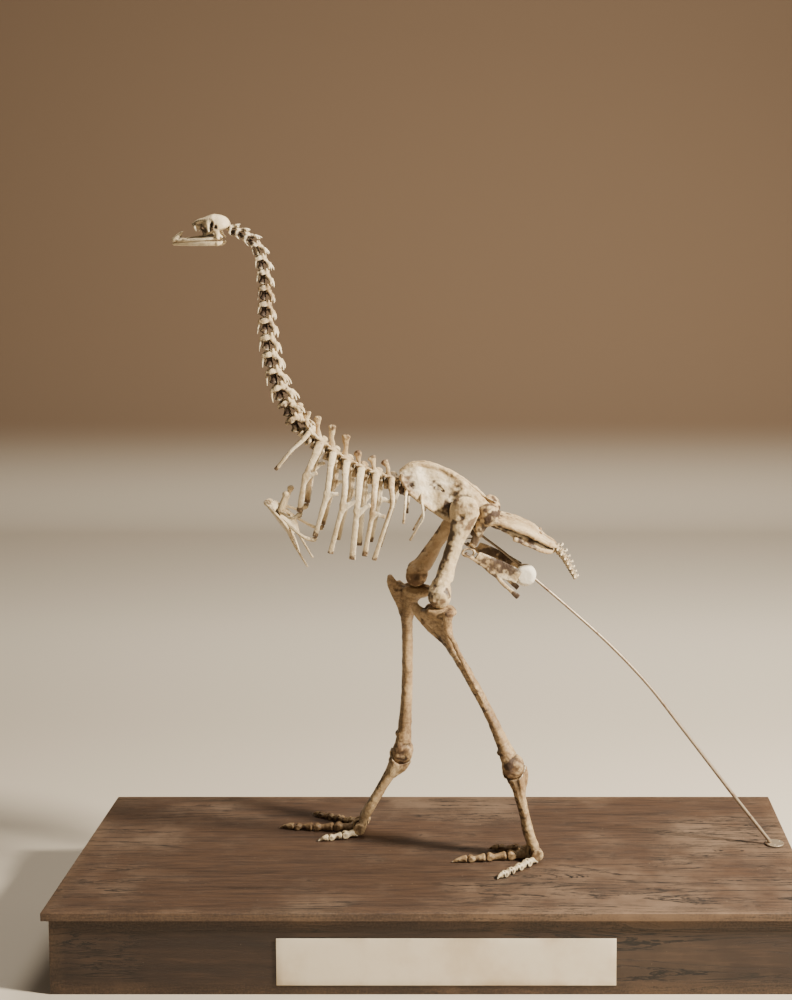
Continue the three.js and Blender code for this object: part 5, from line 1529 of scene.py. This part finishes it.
def bone_material(name, darkening):
    g = Graph(name)
    hollow, rough_end, shade, edge, painted_shade = [
        g.layer(key) for key in ("hollow", "rough_end", "shade", "edge", "painted_shade")]
    blotch, mottle = g.noise(13, 5, 0.62, twist=0.4), g.noise(48, 6, 0.68, twist=0.8)
    speck, fine, pores = g.noise(160, 4, 0.7), g.noise(520, 4, 0.6), g.cells(700)
    brown = blotch * 0.75 + shade * 0.8 + darkening
    colour = g.tint(IVORY, CREAM, brown.ramp(0.45, 0.95))
    colour = g.tint(colour, TAN, (mottle * 0.9 + brown * 0.6).ramp(0.78, 1.15) * 0.8)
    colour = g.tint(colour, PALE, (edge * 0.9 + mottle * 0.8 - brown * 0.35).ramp(0.35, 0.95) * 0.75)
    soaked = (rough_end * 1.0 + mottle * 0.9 + speck * 0.5 + darkening * 0.5).ramp(0.95, 1.75)
    colour = g.tint(colour, UMBER, soaked * 0.88)
    colour = g.tint(colour, UMBER, (speck * 0.8 + blotch * 0.6 + shade * 0.35).ramp(0.86, 1.16) * 0.75)
    # painted shade: the painted-shade spots, roughened by noise, turn the bone near-black brown where shade falls
    shade_paint = (painted_shade * 1.0 + mottle * 0.9 + speck * 0.6).ramp(0.95, 1.7)
    colour = g.tint(colour, SHADOW_BROWN, shade_paint * 0.92)
    pit = 1 - pores.ramp(0.05, 0.35)
    colour = g.tint(colour, DIRT_AND_SHADE, pit * (rough_end * 0.7 + speck * 0.3) * 0.6)
    # painted shade and dirt: the deeper a hollow, the nearer to black
    colour = g.tint(colour, DIRT_AND_SHADE, hollow.ramp(0.16, 0.85) * 0.93)
    colour = g.tint(colour, rgb(0.86, 0.80, 0.72), fine.ramp(0.3, 0.7) * 0.5, "MULTIPLY")
    height = fine * 0.35 + mottle * 0.7 + speck * 0.55 - pit * (rough_end * 0.6 + 0.2)
    return g.finish(colour, 0.44 + soaked * 0.25 + blotch * 0.1, height, 0.0013, 0.9,
                    **{"Specular IOR Level": 0.42})


bone = bone_material("aged_bone", 0.0)
# a second, darker copy of the bone finish, used only for the far thigh bone
dark_bone = bone_material("darker_bone", 0.32)
for name, piece in objects.items():
    piece.data.materials.append(dark_bone if name == "bone_femur_right" else bone)
print("bone finishes:", bone.name, dark_bone.name)

# %% [markdown]
# The plinth is a box of stained boards under a thin top that stands out a little all round.
# Its edges are softened by handling. Each board is a box whose long edges are cut into short
# lengths, rounded over, and then nudged in a little here and there.

# %% Boards
EDGE = 1.8 * MM


def board(node, edge=EDGE, wear=0.5 * MM, cuts=48):
    low, high = [np.array(corner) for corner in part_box(node)]
    size, middle = high - low, (high + low) / 2
    counts = [max(1, int(round(length / max(size) * cuts))) for length in size]
    counts = [n if length > 0.03 else 1 for n, length in zip(counts, size)]
    profile = [0, 0.3, 1.0]
    axes = [np.unique(np.concatenate([
        np.array(profile) * edge - length / 2, np.linspace(-length / 2 + edge, length / 2 - edge, n + 1),
        length / 2 - np.array(profile) * edge])) for n, length in zip(counts, size)]
    points, faces = box_skin(axes)
    inner = np.clip(points, -size / 2 + edge, size / 2 - edge)
    out = points - inner
    away = np.linalg.norm(out, axis=1)
    points = inner + out / np.maximum(away, 1e-9)[:, None] * np.minimum(away, edge)[:, None]
    place = (points + middle) / MM
    rim = np.sort(np.abs(points) / (size / 2), axis=1)[:, 1] > 0.985
    bite = np.clip(roughness(place, 31.0) * 0.7 + roughness(place, 9.0, 3.0) * 0.5, 0, 1) * wear
    points = points - np.sign(points) * bite[:, None] * rim[:, None]
    edges = np.clip(1 - (np.sort((size / 2 - np.abs(points)), axis=1)[:, 1]) / (5 * edge), 0, 1)
    piece = build_object(f"board_{node[6:]}", points + middle, faces, {"edge": edges})
    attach(piece, "root")
    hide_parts(node)
    return piece


def box_skin(axes):
    """The six faces of a box as one closed net, with lines at the given places on each axis."""
    shape = [len(axis) for axis in axes]
    names = np.full(shape, -1, dtype=np.int64)
    grid = np.indices(shape).reshape(3, -1).T
    shell = grid[((grid == 0) | (grid == np.array(shape) - 1)).any(axis=1)]
    names[tuple(shell.T)] = np.arange(len(shell))
    points = np.stack([axes[i][shell[:, i]] for i in range(3)], axis=1)
    faces = []
    for axis in range(3):
        one, two = [(1, 2), (2, 0), (0, 1)][axis]
        for end, flip in ((0, True), (shape[axis] - 1, False)):
            sheet = np.moveaxis(names, (axis, one, two), (0, 1, 2))[end]
            quad = np.stack([sheet[:-1, :-1], sheet[1:, :-1], sheet[1:, 1:], sheet[:-1, 1:]], axis=-1)
            quad = quad.reshape(-1, 4)
            faces.append(quad[:, ::-1] if flip else quad)
    return points, np.vstack(faces)


boards = {node: board(node)
          for node in ("stand_top", "stand_front", "stand_back", "stand_left", "stand_right")}
card = board("stand_label", edge=0.5 * MM, wear=0.2 * MM)
print("boards:", len(boards), "and the card")

# %% [markdown]
# The iron rod bows down from under the pelvis to the plinth. It is a tube swept along its line,
# a little thicker at its foot. It carries a round boss of plaster, and stands in a small plate.

# %% Rod, boss and foot plate
ROD_DIAMETER = (5, 8)
ROD_FOOT = 0.4
KNOB = {"x": 181, "z": 573, "diameter": 46, "thickness": 26}


def tube(rows, sides=20):
    """A closed tube through rows of x, y, z, diameter."""
    rows = np.array(rows, dtype=float)
    ahead = np.gradient(rows[:, :3], axis=0)
    ahead /= np.linalg.norm(ahead, axis=1)[:, None]
    side = np.array([0, 1, 0]) if abs(ahead[0, 1]) < 0.9 else np.array([1, 0, 0])
    over = np.cross(ahead, side)
    over /= np.linalg.norm(over, axis=1)[:, None]
    out = np.cross(over, ahead)
    turns = np.linspace(0, 2 * math.pi, sides, endpoint=False)
    rings = (rows[:, None, :3] + rows[:, None, 3:4] / 2
             * (out[:, None] * np.cos(turns)[None, :, None] + over[:, None] * np.sin(turns)[None, :, None]))
    count = len(rows)
    points = np.vstack([rings.reshape(-1, 3), rows[:1, :3], rows[-1:, :3]])
    faces = []
    for i in range(count - 1):
        for k in range(sides):
            a, b = i * sides + k, i * sides + (k + 1) % sides
            faces.append((a, b, b + sides))
            faces.append((a, b + sides, a + sides))
    first, last = count * sides, count * sides + 1
    for k in range(sides):
        faces.append((first, (k + 1) % sides, k))
        faces.append((last, (count - 1) * sides + k, (count - 1) * sides + (k + 1) % sides))
    return points, np.array(faces)


rod_rows = []
for t in np.linspace(0, 1, 90):
    x, z = ROD_LINE.place(t)
    if z > ROD_FOOT:
        rod_rows.append((x, 0, z, mix(*ROD_DIAMETER, t) + 0.12 * math.sin(31 * t)))
points, faces = tube(rod_rows)
rod = build_object("iron_rod", to_metres(points), faces[:, ::-1])
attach(rod, "root")
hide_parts("stand_rod")

half = KNOB["thickness"] / 2
boss_clay = Clay(0.9)
boss_clay.add(drum((KNOB["x"], 0, KNOB["z"]), ACROSS, KNOB["diameter"] / 2, half, 11))
boss_clay.press(limb([(*row[:3], row[3] + 1, row[3] + 1) for row in rod_rows[::3]], fine=1), 0.5)
keep("boss", boss_clay, wave=0.3, lumps=0.5)
points, faces, hollow, *_ = store["boss"][0]
boss = build_object("plaster_boss", to_metres(points), faces, {"hollow": hollow})
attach(boss, "root")
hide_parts("stand_knob")

foot_x = ROD_LINE.points[-1][0]
low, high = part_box("stand_flange")
thick = (high[2] - low[2]) / MM
plate_clay = Clay(0.8)
plate_clay.add(drum((foot_x, 0, 0.4 + thick / 2), (0, 0, 1), 19.8, thick / 2 - 0.1, 1.2))
for turn in range(3):
    angle = turn * 2 * math.pi / 3 + 0.5
    plate_clay.press(ball((foot_x + 14 * math.cos(angle), 14 * math.sin(angle), 0.4 + thick),
                          (5, 5, 3)), 0.6)
plate_clay.press(limb([(*row[:3], row[3] + 1, row[3] + 1) for row in rod_rows[::3]], fine=1), 0.4)
keep("foot_plate", plate_clay, wave=0.05)
points, faces, hollow, *_ = store["foot_plate"][0]
plate = build_object("foot_plate", to_metres(points), faces, {"hollow": hollow})
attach(plate, "root")
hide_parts("stand_flange")
print("rod rows:", len(rod_rows))

# %% [markdown]
# Stained wood: long grain along the boards, darker streaks, wear that bares paler wood along
# the edges, and dust with small pale specks on the top. The front and the other side boards are painted darker
# than the top, as painted shade.

# %% Wood, card, iron and plaster
def wood_material(name, side_shade, dust):
    g = Graph(name)
    grain = g.noise(16, 6, 0.62, g.place((0.6, 9, 9)), 0.4)
    streak = g.noise(5, 5, 0.65, g.place((0.35, 4.5, 4.5)), 0.8)
    crack = g.noise(3.5, 6, 0.7, g.place((0.5, 7, 7)), 1.6)
    patch, fine = g.noise(3.2, 6, 0.65), g.noise(240, 3, 0.6)
    edge = g.layer("edge")
    colour = g.tint(rgb(0.080, 0.043, 0.024), rgb(0.034, 0.018, 0.011), (grain + side_shade).ramp(0.35, 0.75))
    colour = g.tint(colour, rgb(0.015, 0.008, 0.005), (streak + side_shade * 0.4).ramp(0.52, 0.8) * 0.8)
    colour = g.tint(colour, rgb(0.19, 0.125, 0.080), patch.ramp(0.45, 0.72) * dust * 0.7)
    split = (crack - 0.5) * (crack - 0.5)
    colour = g.tint(colour, rgb(0.006, 0.004, 0.003), (1 - split.ramp(0.0, 0.0006)) * patch.ramp(0.42, 0.6))
    specks = 1 - g.cells(70).ramp(0.03, 0.07)
    colour = g.tint(colour, rgb(0.5, 0.4, 0.28), specks * fine.ramp(0.5, 0.62) * dust)
    colour = g.tint(colour, rgb(0.2, 0.12, 0.065), edge * (patch * 0.6 + fine * 0.5).ramp(0.42, 0.72) * 0.6)
    height = grain * 0.8 + fine * 0.12 + split.ramp(0.0, 0.0012) * 0.5
    return g.finish(colour, 0.36 + patch * 0.3 + grain * 0.12, height, 0.0012, 0.5)


top_wood = wood_material("plinth_top", 0.0, 1.0)
# painted shade: the side boards get a darker copy of the wood
side_wood = wood_material("plinth_side", 0.22, 0.25)
for node, piece in boards.items():
    piece.data.materials.append(top_wood if node == "stand_top" else side_wood)

g = Graph("bare_card")
fibre, stain_patch = g.noise(900, 3, 0.7, g.place((1, 1, 2))), g.noise(9, 4, 0.6)
colour = g.tint(rgb(0.79, 0.70, 0.54), rgb(0.66, 0.54, 0.38), stain_patch.ramp(0.4, 0.8))
colour = g.tint(colour, rgb(0.42, 0.31, 0.19), g.layer("edge") * stain_patch.ramp(0.35, 0.7) * 0.5)
card.data.materials.append(g.finish(colour, 0.75 + fibre * 0.15, fibre, 0.0002, 0.5))

g = Graph("rod_iron")
rust, fine = g.noise(38, 5, 0.65), g.noise(600, 3, 0.6)
colour = g.tint(rgb(0.35, 0.28, 0.20), rgb(0.17, 0.085, 0.045), rust.ramp(0.5, 0.7))
iron = g.finish(colour, 0.3 + rust * 0.3, fine + rust * 0.6, 0.0004, 0.5, Metallic=0.6)
rod.data.materials.append(iron)
plate.data.materials.append(iron)

g = Graph("plaster")
cloud, fine = g.noise(30, 5, 0.6), g.noise(500, 4, 0.6)
colour = g.tint(rgb(0.83, 0.76, 0.62), rgb(0.62, 0.52, 0.37), cloud.ramp(0.45, 0.8))
# painted shade and dirt: the plaster is darker in its hollows, round the rod
colour = g.tint(colour, rgb(0.25, 0.17, 0.1), g.layer("hollow").ramp(0.15, 0.9) * 0.7)
boss.data.materials.append(g.finish(colour, 0.8 + cloud * 0.1, fine + cloud, 0.0005, 0.6))
print("materials:", [m.name for m in bpy.data.materials])

# %% [markdown]
# The floor is a pale sheet that sweeps up far behind the plinth, so that no line crosses
# the picture and a camera can still go all round the bird. Its colour carries painted light: it is
# painted paler farther back, where less light falls, and painted dark brown up the sweep, as
# painted shade. A soft lamp stands on the right, a little above the bird: it lights the right-hand
# edges of the bones and leaves their other sides in shade. A weak one fills from the left, so
# the hollows between bones stay dark but not black.

# %% Floor, lamps and camera
FLOOR_BACK, SWEEP, WALL_TOP, FLOOR_HALF = 4.2, 0.9, 5.0, 6.0
profile = [(-6.0, 0.0), (FLOOR_BACK, 0.0)]
profile += [(FLOOR_BACK + SWEEP * math.sin(a), SWEEP * (1 - math.cos(a)))
            for a in np.linspace(0, math.pi / 2, 25)[1:]]
profile.append((FLOOR_BACK + SWEEP, WALL_TOP))
sheet = np.array([(x, y, z) for y, z in profile for x in (-FLOOR_HALF, FLOOR_HALF)])
floor = build_object("floor", sheet, np.array(
    [(2 * i, 2 * i + 1, 2 * i + 3, 2 * i + 2) for i in range(len(profile) - 1)]))
g = Graph("pale_floor")
here = g.node("ShaderNodeTexCoord", output="Object")
depth, height = [g.node("ShaderNodeSeparateXYZ", None, {0: here}, output=i) for i in (1, 2)]
# painted light and shade: paler farther back, then dark brown up the sweep
painted_floor_light = g.tint(rgb(0.66, 0.58, 0.47), rgb(0.93, 0.84, 0.70), depth.ramp(1.2, 2.6))
painted_floor_light = g.tint(painted_floor_light, rgb(0.28, 0.19, 0.122), height.ramp(0.0, 0.45))
floor.data.materials.append(g.finish(painted_floor_light, 0.85 + g.noise(2.0) * 0.05))

world = bpy.data.worlds.new("studio")
world.use_nodes = True
world.node_tree.nodes["Background"].inputs["Color"].default_value = rgb(0.40, 0.34, 0.27)
world.node_tree.nodes["Background"].inputs["Strength"].default_value = 0.2
bpy.context.scene.world = world


def lamp(name, place, target, size, power, colour):
    data = bpy.data.lights.new(name, "AREA")
    data.shape = "DISK"
    data.size = size
    data.energy = power
    data.color = colour
    lit = bpy.data.objects.new(name, data)
    lit.location = place
    lit.rotation_euler = (Vector(target) - Vector(place)).to_track_quat("-Z", "Y").to_euler()
    bpy.context.scene.collection.objects.link(lit)
    return lit


lamp("key", (2.7, -1.1, 2.5), (-0.05, 0, 0.85), 0.5, 430, (1.0, 0.92, 0.78))
lamp("fill", (-2.2, -3.0, 1.7), (0, 0, 0.8), 2.2, 9, (1.0, 0.95, 0.88))
lamp("top", (0.3, 0.6, 3.4), (0, 0, 0.8), 1.4, 60, (1.0, 0.94, 0.84))

camera = bpy.data.objects.new("camera", bpy.data.cameras.new("camera"))
camera.location = (0.1399, -3.2206, 1.465)
camera.rotation_euler = (math.radians(85), 0, 0)
camera.data.lens = 57.6
camera.data.sensor_width = 36
camera.data.shift_x = -0.109
camera.data.shift_y = -0.139
camera.data.clip_end = 60
bpy.context.scene.collection.objects.link(camera)
bpy.context.scene.camera = camera
print("camera at", tuple(round(value, 3) for value in camera.location))
